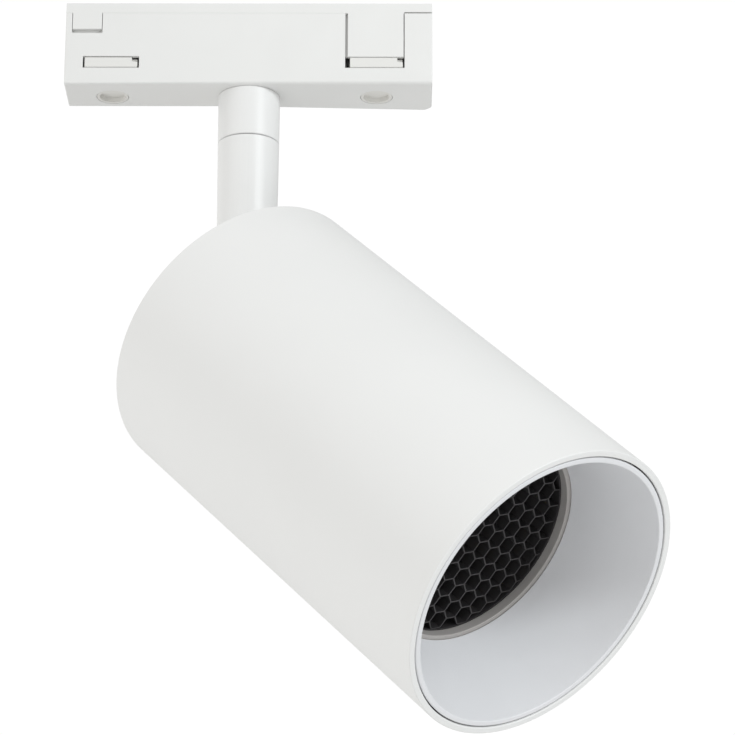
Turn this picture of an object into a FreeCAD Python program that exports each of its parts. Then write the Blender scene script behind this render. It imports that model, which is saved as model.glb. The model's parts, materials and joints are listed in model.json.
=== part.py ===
"""Cylindrical track spotlight on a slim low-voltage track adapter, as a parametric assembly.

The frame: +Z up, origin on the pan axis in the adapter's top face, which seats against the track.
The adapter is fixed, the arm pans under it about Z, and the head tilts on the arm's lower end.
Lengths are millimetres and angles are degrees.
"""
import FreeCAD, Part
import Sketcher
import math
import os
import re

SIZES = {
    # adapter
    "adapter_length": 100.0, "adapter_height": 24.0, "adapter_front": 9.3, "adapter_back": 6.1,
    "adapter_flare": 8.3, "corner_cut": 1.6, "carrier_band": 2.9, "housing_wall": 1.4, "housing_floor": 1.6,
    "window_width": 15.3, "window_height": 3.4, "window_sill": 4.8,
    "key_left": -37.4, "key_right": 34.8, "key_offset": -0.2, "key_radius": 4.4, "peg_offset": 2.0,
    "peg_radius": 0.8, "tongue_width": 12.5, "tongue_thickness": 3.0,
    "nose_width": 14.4, "nose_depth": 3.4, "post_left": -28.2,
    "post_right": 25.2, "post_radius": 2.3, "pilot_radius": 1.0,
    # stem
    "stem_top": 8.45, "stem_seam": 8.36, "stem_bottom": 7.95, "collar_length": 14.0, "seam_gap": 0.3,
    "nipple_radius": 3.5, "nipple_bore": 2.3, "stem_bore": 6.6, "swivel_wall": 3.2,
    "stop_radius": 6.9, "stop_pin": 0.6,
    # hinge
    "pivot_depth": 94.8, "pan_angle": 51.82, "tilt_angle": 48.36, "tongue_half": 4.0, "knuckle_radius": 6.0,
    "arm_end": 9.5, "pin_radius": 2.5, "ear_inner": 4.5, "ear_outer": 8.5,
    # head, heights along the barrel from the hinge pin
    "shell_radius": 39.8, "shell_wall": 1.7, "shell_rear": 1.0, "shell_front": 128.6, "cap_height": 10.0,
    "cap_thickness": 2.6, "sink_low": 20.0, "sink_high": 58.0, "sink_plate": 6.0, "fin_thickness": 1.6,
    "board_radius": 14.0, "reflector_low": 69.0, "reflector_high": 92.0, "reflector_mouth": 26.6,
    "reflector_throat": 8.2, "snoot_outer": 37.75, "lip_radius": 36.35, "cone_radius": 28.6,
    "cone_depth": 25.3, "louvre_depth": 28.1, "louvre_thickness": 3.6, "louvre_ring_radius": 27.6,
    "louvre_radius": 29.2, "cell_pitch": 4.8, "cell_wall": 0.32,
    "louvre_turn": -6.0, "louvre_across": -0.54, "louvre_along": 1.97,
    # wires
    "wire_radius": 0.65, "wire_spacing": 0.95,
}

doc = FreeCAD.newDocument("track_spotlight")
sheet = doc.addObject("Spreadsheet::Sheet", "Sizes")
NODES = []
WORD = re.compile(r"[a-z_]+")


def fill_sheet():
    """Put every driving size in the sheet, each under its own alias."""
    for row, (alias, value) in enumerate(SIZES.items(), start=1):
        sheet.set("A%d" % row, alias)
        sheet.set("B%d" % row, str(value))
        sheet.setAlias("B%d" % row, alias)
    doc.recompute()


def size(alias):
    """Current value of one size in the sheet."""
    return float(getattr(sheet, alias))


def bind(item, prop, text):
    """Bind a property to an expression written with the sheet's aliases."""
    item.setExpression(prop, WORD.sub(lambda word: "Sizes." + word.group(0), text))


def move(item, place):
    """Bind an object's position to three expressions."""
    for axis, text in zip("xyz", place):
        bind(item, "Placement.Base." + axis, text)
    return item


def box(name, sizes, corner):
    """Box from its three sizes and its lowest corner."""
    item = doc.addObject("Part::Box", name)
    for prop, text in zip(("Length", "Width", "Height"), sizes):
        bind(item, prop, text)
    return move(item, corner)


def cylinder(name, radius, height, base, axis="z"):
    """Cylinder that rises along an axis from the centre of its lower end."""
    item = doc.addObject("Part::Cylinder", name)
    bind(item, "Radius", radius)
    bind(item, "Height", height)
    turns = {"x": (0, 1, 0, 90), "y": (1, 0, 0, -90), "z": (0, 0, 1, 0)}
    across, along, up, angle = turns[axis]
    item.Placement.Rotation = FreeCAD.Rotation(FreeCAD.Vector(across, along, up), angle)
    return move(item, base)


def hexagon(name, flats, height, base, axis="z"):
    """Hexagonal prism from its width across the flats."""
    item = doc.addObject("Part::Prism", name)
    item.Polygon = 6
    bind(item, "Circumradius", "(%s) / 1.7320508" % flats)
    bind(item, "Height", height)
    if axis == "x":
        item.Placement.Rotation = FreeCAD.Rotation(FreeCAD.Vector(0, 1, 0), 90)
    return move(item, base)


def fuse(name, pieces):
    """Union of several solids."""
    item = doc.addObject("Part::MultiFuse", name)
    item.Shapes = pieces
    item.Refine = True
    return item


def cut(name, base, tools):
    """A solid with one or more tools taken out of it."""
    item = doc.addObject("Part::Cut", name)
    item.Base = base
    item.Tool = tools[0] if len(tools) == 1 else fuse(name + "_tools", tools)
    item.Refine = True
    return item


def outline(body, name, role, points, height=None):
    """Closed sketch through points given as expression pairs, on one of the body's origin planes."""
    sketch = body.newObject("Sketcher::SketchObject", name)
    plane = next(item for item in body.Origin.OriginFeatures if item.Role == role)
    sketch.AttachmentSupport = (plane, [""])
    sketch.MapMode = "FlatFace"
    if height:
        bind(sketch, "AttachmentOffset.Base.z", height)
    spots = [FreeCAD.Vector(worth(across), worth(up), 0) for across, up in points]
    count = len(spots)
    for index in range(count):
        sketch.addGeometry(Part.LineSegment(spots[index], spots[(index + 1) % count]))
    for index in range(count):
        sketch.addConstraint(Sketcher.Constraint("Coincident", index, 2, (index + 1) % count, 1))
    for index, texts in enumerate(points):
        for kind, text, value in zip(("DistanceX", "DistanceY"), texts, spots[index]):
            row = sketch.addConstraint(Sketcher.Constraint(kind, -1, 1, index, 1, value))
            if WORD.search(text):
                bind(sketch, "Constraints[%d]" % row, text)
    return sketch


def worth(text):
    """Value of an expression with + - * / and brackets, worked out by the sheet."""
    cell = "D1"
    sheet.set(cell, "=" + text)
    sheet.recompute()
    return float(sheet.get(cell))


def lathe(name, points):
    """Solid of revolution about Z from (radius, height) points."""
    body = doc.addObject("PartDesign::Body", name)
    sketch = outline(body, name + "_outline", "XZ_Plane", points)
    turned = body.newObject("PartDesign::Revolution", name + "_turned")
    turned.Profile = sketch
    turned.ReferenceAxis = (sketch, ["V_Axis"])
    turned.Angle = 360
    return body


def ring(name, inner, outer, low, high):
    """Plain ring about Z."""
    return lathe(name, [(inner, low), (outer, low), (outer, high), (inner, high)])


def disc(name, radius, low, high):
    """Plain disc about Z."""
    return lathe(name, [("0", low), (radius, low), (radius, high), ("0", high)])


def plate(name, points, low, height):
    """Flat-sided solid from an outline in plan."""
    body = doc.addObject("PartDesign::Body", name)
    sketch = outline(body, name + "_outline", "XY_Plane", points, low)
    pad = body.newObject("PartDesign::Pad", name + "_pad")
    pad.Profile = sketch
    bind(pad, "Length", height)
    return body


def bar(name, points, offset, depth):
    """Flat-sided solid from a side-view outline (X across, Z up), from Y = -offset by depth along -Y."""
    body = doc.addObject("PartDesign::Body", name)
    sketch = outline(body, name + "_outline", "XZ_Plane", points, offset)
    pad = body.newObject("PartDesign::Pad", name + "_pad")
    pad.Profile = sketch
    bind(pad, "Length", depth)
    return body


def free_shape(name, shape):
    """Solid made with Part's own functions."""
    item = doc.addObject("Part::Feature", name)
    item.Shape = shape
    return item


def round_wire(spots, bend, radius):
    """Round wire along straight runs joined by tangent arcs."""
    edges = []
    start = spots[0]
    for index in range(1, len(spots) - 1):
        before = (spots[index - 1] - spots[index]).normalize()
        after = (spots[index + 1] - spots[index]).normalize()
        half = before.getAngle(after) / 2
        enter = spots[index] + before * (bend / math.tan(half))
        leave = spots[index] + after * (bend / math.tan(half))
        middle = spots[index] + (before + after).normalize() * (bend / math.sin(half) - bend)
        edges.append(Part.LineSegment(start, enter).toShape())
        edges.append(Part.Arc(enter, middle, leave).toShape())
        start = leave
    edges.append(Part.LineSegment(start, spots[-1]).toShape())
    path = Part.Wire(edges)
    section = Part.Wire(Part.makeCircle(radius, spots[0], spots[1] - spots[0]))
    tube = path.makePipeShell([section], True, False)
    ratio = tube.Volume / (path.Length * math.pi * radius ** 2)
    print("wire length %.1f, bend radius %.1f, volume ratio %.3f" % (path.Length, bend, ratio))
    return tube


def keep(item, label, placement=None):
    """Name a finished sub-part and put it in its place."""
    item.Label = label
    if placement is not None:
        item.Placement = placement
    NODES.append(item)
    return item


def arm_place():
    """Row frame turned to the rest pan angle: X is the hinge axis and -Y is where the head points."""
    return FreeCAD.Placement(FreeCAD.Vector(), FreeCAD.Rotation(FreeCAD.Vector(0, 0, 1), size("pan_angle")))


def head_place():
    """Frame of the head: origin on the hinge pin, X along the pin and Z towards the mouth."""
    pan = FreeCAD.Rotation(FreeCAD.Vector(0, 0, 1), size("pan_angle"))
    lean = FreeCAD.Rotation(FreeCAD.Vector(1, 0, 0), 180 - size("tilt_angle"))
    return FreeCAD.Placement(FreeCAD.Vector(0, 0, -size("pivot_depth")), pan * lean)


# ---------------------------------------------------------------- adapter


def adapter_plan(inset, corner):
    """The adapter's outline in plan: straight front, back that flares towards the right end."""
    right = "adapter_length / 2 - %s" % inset
    left = "-adapter_length / 2 + %s" % inset
    front = "-adapter_front + %s" % inset
    flare = "adapter_flare - %s" % inset
    back = "adapter_back - %s" % inset
    return [
        (left, front), (right, front), (right, "%s - %s" % (flare, corner)),
        ("%s - %s" % (right, corner), flare), ("0", back), (left, back),
    ]


def front_cut(name, left, right, low, high):
    """Tool that opens the adapter's front wall between two X and two Z positions."""
    width = "(%s) - (%s)" % (right, left)
    height = "(%s) - (%s)" % (high, low)
    return box(name, (width, "housing_wall + 2", height), (left, "-adapter_front - 1", low))


def adapter_housing():
    """Hollow housing with the tongue windows, the key holes and two screw posts."""
    outer = plate("housing_outer", adapter_plan("0", "corner_cut"), "-adapter_height",
                  "adapter_height - carrier_band")
    cavity = plate("housing_cavity", adapter_plan("housing_wall", "1"), "-adapter_height + housing_floor",
                   "adapter_height")
    sill = "-adapter_height + window_sill"
    head = sill + " + window_height"
    cuts = [
        cavity,
        front_cut("left_window", "key_left - window_width / 2", "key_left + window_width / 2", sill, head),
        front_cut("cheek_notch", "26.3", "key_right + window_width / 2", sill, "1"),
        front_cut("tab_notch", "-48.3", "-40.0", "-8.9", "1"),
        cylinder("nipple_hole", "nipple_radius + 0.1", "4", ("0", "0", "-adapter_height - 1")),
    ]
    posts = [tongue_guide("left"), tongue_guide("right")]
    for side in ("left", "right"):
        key = "key_" + side
        cuts.append(cylinder(side + "_key_hole", "key_radius + 0.05", "4", (key, "key_offset",
                             "-adapter_height - 1")))
        post = cylinder(side + "_post", "post_radius", "adapter_height - carrier_band - housing_floor",
                        ("post_" + side, "-1.6", "-adapter_height + housing_floor"))
        pilot = cylinder(side + "_pilot", "pilot_radius + 0.02", "12", ("post_" + side, "-1.6", "-14"))
        posts.append(cut(side + "_screw_post", post, [pilot]))
    shell = cut("housing_shell", outer, cuts)
    keep(fuse("housing", [shell] + posts), "adapter_housing")


def tongue_guide(side):
    """Two ribs that guide one tongue behind its window."""
    ribs = []
    front = "-adapter_front + housing_wall + nose_depth - 0.8"
    for end, start in (("low", "-tongue_width / 2 - 1.35"), ("high", "tongue_width / 2 + 0.15")):
        rib = box("%s_guide_%s" % (side, end), ("1.2", "3.2", "window_sill + tongue_thickness - 1.2"),
                  ("key_%s + (%s)" % (side, start), front, "-adapter_height + 1"))
        ribs.append(rib)
    return fuse(side + "_guides", ribs)


def cover_flange(name, left, right, low):
    """Thin flange behind the housing's front wall, which closes the seam round a tab of the carrier."""
    back = "-adapter_front + housing_wall + 0.05"
    width = "(%s) - (%s)" % (right, left)
    skin = box(name, (width, "0.8", "-carrier_band - (%s) + 0.5" % low), (left, back, low))
    web = box(name + "_web", (width + " - 3", "0.4", "-carrier_band - (%s) - 1" % low),
              (left + " + 1.5", back + " - 0.2", low + " + 1.5"))
    return fuse(name + "_group", [skin, web])


def contact_carrier():
    """Lid of the housing, with the contact slots, and a tab and a cheek that show at the front."""
    band = plate("carrier_plate", adapter_plan("0", "corner_cut"), "-carrier_band", "carrier_band")
    cheek = box("carrier_cheek", ("15.2", "housing_wall - 0.05", "13.0"),
                ("27.0", "-adapter_front", "-15.9"))
    tab = box("carrier_tab", ("8.0", "housing_wall - 0.05", "4.8"), ("-48.15", "-adapter_front", "-7.7"))
    rib = box("carrier_rib", ("60", "1.2", "1.2"), ("-38", "-adapter_front + housing_wall + 0.1", "-4.1"))
    tools = [box("seam_relief", ("8", "22", "0.35"), ("42.4", "-11", "-carrier_band - 0.001"))]
    for side, across in (("front", "-6.1"), ("rear", "2.1")):
        tools.append(box(side + "_contact_slot", ("29", "2.6", "6"), ("-14.5", across, "-5")))
    for side in ("left", "right"):
        place = ("post_" + side, "-1.6")
        tools.append(cylinder(side + "_head_seat", "2.25", "3", place + ("-1.5",)))
        tools.append(cylinder(side + "_shank_hole", "1.25", "6", place + ("-5",)))
    flanges = [cover_flange("cheek_flange", "25.7", "43.0", "-15.5"),
               cover_flange("tab_flange", "-48.4", "-39.4", "-9.5")]
    keep(cut("carrier", fuse("carrier_body", [band, cheek, tab, rib] + flanges), tools), "contact_carrier")


def contact_blades():
    """Two sprung strips whose crowns lie just under the seating face."""
    upper = [("-14", "-3.3"), ("-12.6", "-3.3"), ("-9", "-0.5"),
             ("9", "-0.5"), ("12.6", "-3.3"), ("14", "-3.3")]
    lower = [(across, "%s - 0.4" % up) for across, up in reversed(upper)]
    for side, across in (("front", 4.8), ("rear", -3.4)):
        blade = bar(side + "_blade", upper + lower, str(across - 1.0), "2")
        keep(blade, "contact_blade_" + side)


def driver_board():
    """Board under the contacts, with a hole for the two leads."""
    board = box("board", ("44", "10.8", "1.2"), ("-23", "-7.2", "-10.2"))
    holes = [cylinder("wire_holes", "1.8", "4", ("-1", "-1.8", "-12"))]
    keep(cut("board_drilled", board, holes), "driver_board")


def driver_parts():
    """Inductor, capacitors and chips that stand on the driver board."""
    coil = box("coil", ("8.4", "8.4", "3.8"), ("-20", "-6", "-9"))
    lid = cylinder("coil_lid", "3.6", "0.5", ("-15.8", "-1.8", "-5.2"))
    tall = [cylinder("capacitor_%d" % index, "2.5", "4.4", (str(6 + 6 * index), "-1.4", "-9"))
            for index in range(3)]
    chips = [box("chip_%d" % index, ("4", "3.4", "1.1"), (str(-9 + 5.2 * index), "-5.2", "-9"))
             for index in range(2)]
    terminal = box("terminal", ("5.4", "4", "3.4"), ("-8.4", "-0.9", "-9"))
    keep(fuse("driver_group", [coil, lid, terminal] + tall + chips), "driver_parts")


def feed_wires():
    """Two leads from the driver board down through the threaded nipple."""
    wires = []
    for side in (-1, 1):
        across = side * size("wire_spacing")
        top = FreeCAD.Vector(across - 1, -1.8, -10.4)
        spots = [top, FreeCAD.Vector(across - 1, -1.8, -12.5), FreeCAD.Vector(across, 0, -15.5),
                 FreeCAD.Vector(across, 0, -48.0)]
        wires.append(round_wire(spots, 1.6, size("wire_radius")))
    keep(free_shape("feed", Part.makeCompound(wires)), "feed_wires")


def lock_key(side, label):
    """Quarter-turn key: D-shaped driver pocket below, flange inside the floor, eccentric peg on top."""
    key = "key_" + side
    base = (key, "key_offset")
    stem = cylinder(side + "_key_stem", "key_radius", "housing_floor + 0.1",
                    base + ("-adapter_height + 0.05",))
    flange = cylinder(side + "_key_flange", "key_radius + 0.5", "1.2",
                      base + ("-adapter_height + housing_floor + 0.1",))
    peg = cylinder(side + "_key_peg", "peg_radius", "5.2",
                   (key + " + peg_offset", "key_offset", "-adapter_height + housing_floor + 0.5"))
    pocket = cylinder(side + "_key_pocket", "3.6", "2", base + ("-adapter_height - 0.6",))
    flat = box(side + "_key_flat", ("8", "3", "4"),
               (key + " - 4", "key_offset - 5.3", "-adapter_height - 1"))
    dee = cut(side + "_key_dee", pocket, [flat])
    keep(cut(side + "_key", fuse(side + "_key_body", [stem, flange, peg]), [dee]), label)


def lock_tongue(side, label):
    """Sliding tongue with a wide nose; the key's peg works in its cross slot."""
    key = "key_" + side
    low = "-adapter_height + window_sill + 0.2"
    nose = "-adapter_front + 0.15"
    body = box(side + "_tongue_body", ("tongue_width", "8.4", "tongue_thickness"),
               (key + " - tongue_width / 2", "-6", low))
    wide = box(side + "_tongue_nose", ("nose_width", "nose_depth", "tongue_thickness"),
               (key + " - nose_width / 2", nose, low))
    slot = box(side + "_tongue_slot", ("5.4", "2.8", "8"),
               (key + " - 1.3", "key_offset - 1.4", low + " - 1"))
    notch = box(side + "_tongue_notch", ("3", "1.6", "3"),
                (key + " + nose_width / 2 - 1.5", nose + " - 0.2", low + " + tongue_thickness - 1.3"))
    keep(cut(side + "_tongue", fuse(side + "_tongue_group", [body, wide]), [slot, notch]), label)


def housing_screws():
    """Two screws that hold the contact carrier on the housing's posts."""
    screws = []
    for side in ("left", "right"):
        place = ("post_" + side, "-1.6")
        head = cylinder(side + "_screw_head", "2.15", "1.2", place + ("-1.5",))
        shank = cylinder(side + "_screw_shank", "pilot_radius", "9.5", place + ("-11",))
        recess = hexagon(side + "_screw_recess", "2", "1", place + ("-0.9",))
        screws.append(cut(side + "_screw", fuse(side + "_screw_body", [head, shank]), [recess]))
    keep(fuse("housing_screw_pair", screws), "housing_screws")


# ---------------------------------------------------------------- stem joint

SEAM = "-adapter_height - collar_length"
ARM_TOP = SEAM + " - seam_gap"
ARM_CEILING = ARM_TOP + " - swivel_wall"


def stem_collar():
    """Fixed upper part of the stem, held against the housing by the nipple's flange."""
    collar = lathe("collar_body", [
        ("nipple_radius + 0.05", "-adapter_height"), ("stem_top", "-adapter_height"), ("stem_seam", SEAM),
        ("5.8", SEAM), ("5.8", SEAM + " + 1.7"), ("nipple_radius + 0.05", SEAM + " + 1.7"),
    ])
    pin_hole = cylinder("stop_pin_hole", "stop_pin + 0.02", "4", ("0", "stop_radius", SEAM + " - 1"))
    keep(cut("collar", collar, [pin_hole]), "stem_collar")


def nipple():
    """Hollow threaded tube with a flange that holds the collar, and carries the arm."""
    low = ARM_CEILING + " - 6.4"
    tube = ring("nipple_tube", "nipple_bore", "nipple_radius", low, "-16.6")
    flange = ring("nipple_flange", "nipple_bore", "5.7", SEAM + " + 0.15", SEAM + " + 1.65")
    keep(fuse("nipple_body", [tube, flange]), "hollow_nipple")


def nipple_nut():
    """Washer and captive plate nut inside the housing floor."""
    floor = "-adapter_height + housing_floor"
    keep(ring("lock_washer", "nipple_radius + 0.1", "4.6", floor, floor + " + 0.7"), "nipple_washer")
    nut = box("nipple_block", ("15", "11.2", "3.6"), ("-7.5", "-6.7", floor + " + 0.7"))
    bore = cylinder("nipple_block_bore", "nipple_radius + 0.03", "8", ("0", "0", floor))
    keep(cut("nipple_plate_nut", nut, [bore]), "nipple_nut")


def pan_hardware():
    """Friction washer and lock nut on the nipple's lower end, and the pan stop pin."""
    keep(ring("pan_ring", "nipple_radius + 0.1", "6.1", ARM_CEILING + " - 0.85", ARM_CEILING + " - 0.05"),
         "pan_washer")
    nut = hexagon("pan_hex", "10.4", "3.6", ("0", "0", ARM_CEILING + " - 4.45"))
    bore = cylinder("pan_hex_bore", "nipple_radius + 0.03", "8", ("0", "0", ARM_CEILING + " - 6"))
    keep(cut("pan_hex_nut", nut, [bore]), "pan_nut")
    pin = cylinder("stop_pin_body", "stop_pin", "4", ("0", "stop_radius", SEAM + " - 1.1"))
    keep(pin, "pan_stop_pin")


def swivel_arm():
    """Tapered tube that turns under the collar; its stop groove is left solid over a short stretch."""
    end = "-pivot_depth + arm_end"
    tube = lathe("arm_tube", [
        ("nipple_radius + 0.06", ARM_TOP), ("stem_seam", ARM_TOP), ("stem_bottom", end), ("stem_bore", end),
        ("stem_bore", ARM_CEILING), ("nipple_radius + 0.06", ARM_CEILING),
    ])
    groove = ring("stop_groove", "stop_radius - 0.85", "stop_radius + 0.85",
                  ARM_TOP + " - 1.4", ARM_TOP + " + 1")
    groove.Label = "stop_groove_ring"
    stop = box("stop_block", ("2.0", "4", "4"), ("-1.0", "-stop_radius - 2", ARM_TOP + " - 2"))
    screw_hole = cylinder("arm_screw_hole", "1.55", "6",
                          ("0", "stem_bore - 1", "-pivot_depth + arm_end + 4"), "y")
    keep(cut("arm", tube, [cut("stop_track", groove, [stop]), screw_hole]), "swivel_arm", arm_place())


def hinge_knuckle():
    """Plug in the arm's lower end with a flat tongue that the hinge pin crosses."""
    end = "-pivot_depth + arm_end"
    plug = cylinder("knuckle_plug", "stem_bore - 0.05", "8", ("0", "0", end))
    shoulder = cylinder("knuckle_shoulder", "stem_bottom - 0.25", "2.4", ("0", "0", end + " - 2.4"))
    tongue = box("knuckle_tongue", ("2 * tongue_half", "2 * knuckle_radius", "arm_end"),
                 ("-tongue_half", "-knuckle_radius", "-pivot_depth"))
    eye = cylinder("knuckle_eye", "knuckle_radius", "2 * tongue_half",
                   ("-tongue_half", "0", "-pivot_depth"), "x")
    cuts = [
        cylinder("knuckle_bore", "pin_radius + 0.03", "30", ("-15", "0", "-pivot_depth"), "x"),
        cylinder("knuckle_channel", "2.2", "14", ("0", "0", end + " - 1.6")),
        box("knuckle_exit", ("4.4", "12", "4.6"), ("-2.2", "-12", end + " - 1.6")),
        cylinder("knuckle_screw_hole", "1.25", "8", ("0", "1", end + " + 4"), "y"),
    ]
    body = fuse("knuckle_body", [plug, shoulder, tongue, eye])
    keep(cut("knuckle", body, cuts), "hinge_knuckle", arm_place())


def knuckle_screw():
    """Radial screw that holds the knuckle in the arm."""
    spot = "-pivot_depth + arm_end + 4"
    shank = cylinder("set_screw_shank", "1.2", "4.0", ("0", "2.9", spot), "y")
    head = cylinder("set_screw_head", "1.5", "1.1", ("0", "6.65", spot), "y")
    recess = cylinder("set_screw_recess", "0.7", "2", ("0", "6.9", spot), "y")
    keep(cut("set_screw", fuse("set_screw_body", [shank, head]), [recess]), "knuckle_screw", arm_place())


def arm_wires():
    """The two leads inside the arm, from the nipple's end to the knuckle's exit."""
    end = -size("pivot_depth") + size("arm_end")
    wires = []
    for side in (-1, 1):
        across = side * size("wire_spacing")
        spots = [FreeCAD.Vector(across, 0, -48.2), FreeCAD.Vector(across, 0, end - 0.8),
                 FreeCAD.Vector(across, -7.0, end - 0.8)]
        wires.append(round_wire(spots, 1.7, size("wire_radius")))
    keep(free_shape("arm_leads", Part.makeCompound(wires)), "arm_wires", arm_place())


# ---------------------------------------------------------------- head


def barrel_shell():
    """Plain tube around the head."""
    inner = "shell_radius - shell_wall"
    tube = ring("shell_tube", inner, "shell_radius", "-shell_rear", "shell_front")
    keep(tube, "barrel_shell", head_place())


def rear_cap():
    """Recessed cap with the two hinge ears, air slots and the cable entry."""
    outer = "shell_radius - shell_wall - 0.1"
    disc = cylinder("cap_disc", outer, "cap_thickness", ("0", "0", "cap_height"))
    rim = ring("cap_rim", outer + " - 1.8", outer, "cap_height - 6", "cap_height + 1")
    ears = []
    for side, start in (("left", "-ear_outer"), ("right", "ear_inner")):
        width = "ear_outer - ear_inner"
        ears.append(box(side + "_ear", (width, "2 * knuckle_radius", "cap_height + 1"),
                        (start, "-knuckle_radius", "0")))
        ears.append(cylinder(side + "_ear_round", "knuckle_radius", width, (start, "0", "0"), "x"))
    tools = [
        cylinder("ear_bore", "pin_radius + 0.02", "40", ("-20", "0", "0"), "x"),
        cylinder("grommet_hole", "3.6", "8", ("0", "-15", "cap_height - 2")),
    ]
    for index in range(12):
        angle = math.radians(15 + 30 * index)
        spot = ("%.4f" % (28 * math.cos(angle)), "%.4f" % (28 * math.sin(angle)), "cap_height - 1")
        if index % 4 != 1:
            tools.append(cylinder("vent_%d" % index, "2.4", "6", spot))
    for index in range(3):
        spot = cap_screw_spot(index, "cap_height - 1")
        tools.append(cylinder("cap_screw_hole_%d" % index, "1.6", "6", spot))
    keep(cut("cap", fuse("cap_body", [disc, rim] + ears), tools), "rear_cap", head_place())


def cap_screw_spot(index, height):
    """Place of one of the three cap screws, on a circle."""
    angle = math.radians(90 + 120 * index)
    return ("%.4f" % (32 * math.cos(angle)), "%.4f" % (32 * math.sin(angle)), height)


def cap_screws():
    """Three screws that hold the rear cap on the heat sink's posts."""
    screws = []
    for index in range(3):
        head = cylinder("cap_screw_head_%d" % index, "2.7", "1.8", cap_screw_spot(index, "cap_height - 1.8"))
        shank = cylinder("cap_screw_shank_%d" % index, "1.5", "9", cap_screw_spot(index, "cap_height - 0.5"))
        recess = hexagon("cap_screw_recess_%d" % index, "2.5", "1.6", cap_screw_spot(index, "cap_height - 2"))
        screws.append(cut("cap_screw_%d" % index, fuse("cap_screw_body_%d" % index, [head, shank]), [recess]))
    keep(fuse("cap_screw_set", screws), "cap_screws", head_place())


def hinge_pin():
    """Shouldered pin through the ears and the knuckle, with its nut."""
    shank = cylinder("pin_shank", "pin_radius", "21.6", ("-12.6", "0", "0"), "x")
    head = cylinder("pin_head", "4.2", "2.4", ("ear_outer", "0", "0"), "x")
    recess = hexagon("pin_recess", "3", "1.6", ("ear_outer + 1", "0", "0"), "x")
    keep(cut("pin", fuse("pin_body", [shank, head]), [recess]), "hinge_pin", head_place())
    nut = hexagon("hinge_hex", "8", "3.2", ("-ear_outer - 3.2", "0", "0"), "x")
    bore = cylinder("hinge_hex_bore", "pin_radius + 0.02", "10", ("-ear_outer - 6", "0", "0"), "x")
    keep(cut("hinge_hex_nut", nut, [bore]), "hinge_nut", head_place())


def friction_washers():
    """Two washers between the ears and the knuckle's tongue."""
    washers = []
    for side, start in (("left", "-tongue_half - 0.45"), ("right", "tongue_half + 0.05")):
        disc = cylinder(side + "_washer_disc", "5.6", "0.4", (start, "0", "0"), "x")
        bore = cylinder(side + "_washer_bore", "pin_radius + 0.05", "10", ("%s - 4" % start, "0", "0"), "x")
        washers.append(cut(side + "_washer", disc, [bore]))
    keep(fuse("washer_pair", washers), "friction_washers", head_place())


def cable_grommet():
    """Grommet where the leads enter the rear cap."""
    grommet = lathe("grommet_body", [
        ("2", "cap_height - 1.2"), ("4.8", "cap_height - 1.2"), ("4.8", "cap_height - 0.05"),
        ("3.5", "cap_height - 0.05"), ("3.5", "cap_height + cap_thickness + 0.05"),
        ("4.6", "cap_height + cap_thickness + 0.05"), ("4.6", "cap_height + cap_thickness + 1.1"),
        ("2", "cap_height + cap_thickness + 1.1"),
    ])
    shift = FreeCAD.Placement(FreeCAD.Vector(0, -15, 0), FreeCAD.Rotation())
    keep(grommet, "cable_grommet", head_place() * shift)


def heat_sink():
    """Plate that carries the light source, hub, fins, and the posts the cap is screwed to."""
    radius = "shell_radius - shell_wall - 0.15"
    plate_disc = cylinder("sink_disc", radius, "sink_plate", ("0", "0", "sink_high"))
    hub = cylinder("sink_hub", "9", "sink_high - sink_low + 1", ("0", "0", "sink_low"))
    pieces = [plate_disc, hub]
    for index in range(10):
        fin = box("fin_%d" % index, ("2 * (%s) - 2" % radius, "fin_thickness", "sink_high - sink_low + 1"),
                  ("0", "0", "sink_low"))
        turn = FreeCAD.Rotation(FreeCAD.Vector(0, 0, 1), 18 * index)
        inward = -size("shell_radius") + size("shell_wall") + 1.15
        half = FreeCAD.Vector(inward, -size("fin_thickness") / 2, 0)
        spot = turn.multVec(half)
        fin.setExpression("Placement.Base.x", None)
        fin.setExpression("Placement.Base.y", None)
        fin.Placement = FreeCAD.Placement(FreeCAD.Vector(spot.x, spot.y, size("sink_low")), turn)
        pieces.append(fin)
    tools = [cylinder("sink_wire_hole", "2.2", "60", ("0", "-13", "sink_low - 5"))]
    for index in range(3):
        low = "cap_height + cap_thickness"
        pieces.append(cylinder("sink_post_%d" % index, "3.6", "sink_high - cap_height - cap_thickness + 1",
                               cap_screw_spot(index, low)))
        tools.append(cylinder("sink_pilot_%d" % index, "1.52", "10", cap_screw_spot(index, "cap_height")))
    for index in range(2):
        tools.append(cylinder("sink_led_hole_%d" % index, "1.02", "6", led_screw_spot(index, "60")))
    keep(cut("sink", fuse("sink_body", pieces), tools), "heat_sink", head_place())


def led_screw_spot(index, height):
    """Place of one of the two screws that hold the light source."""
    return (str(-12 + 24 * index), "0", height)


LED_BASE = "sink_high + sink_plate"


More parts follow.
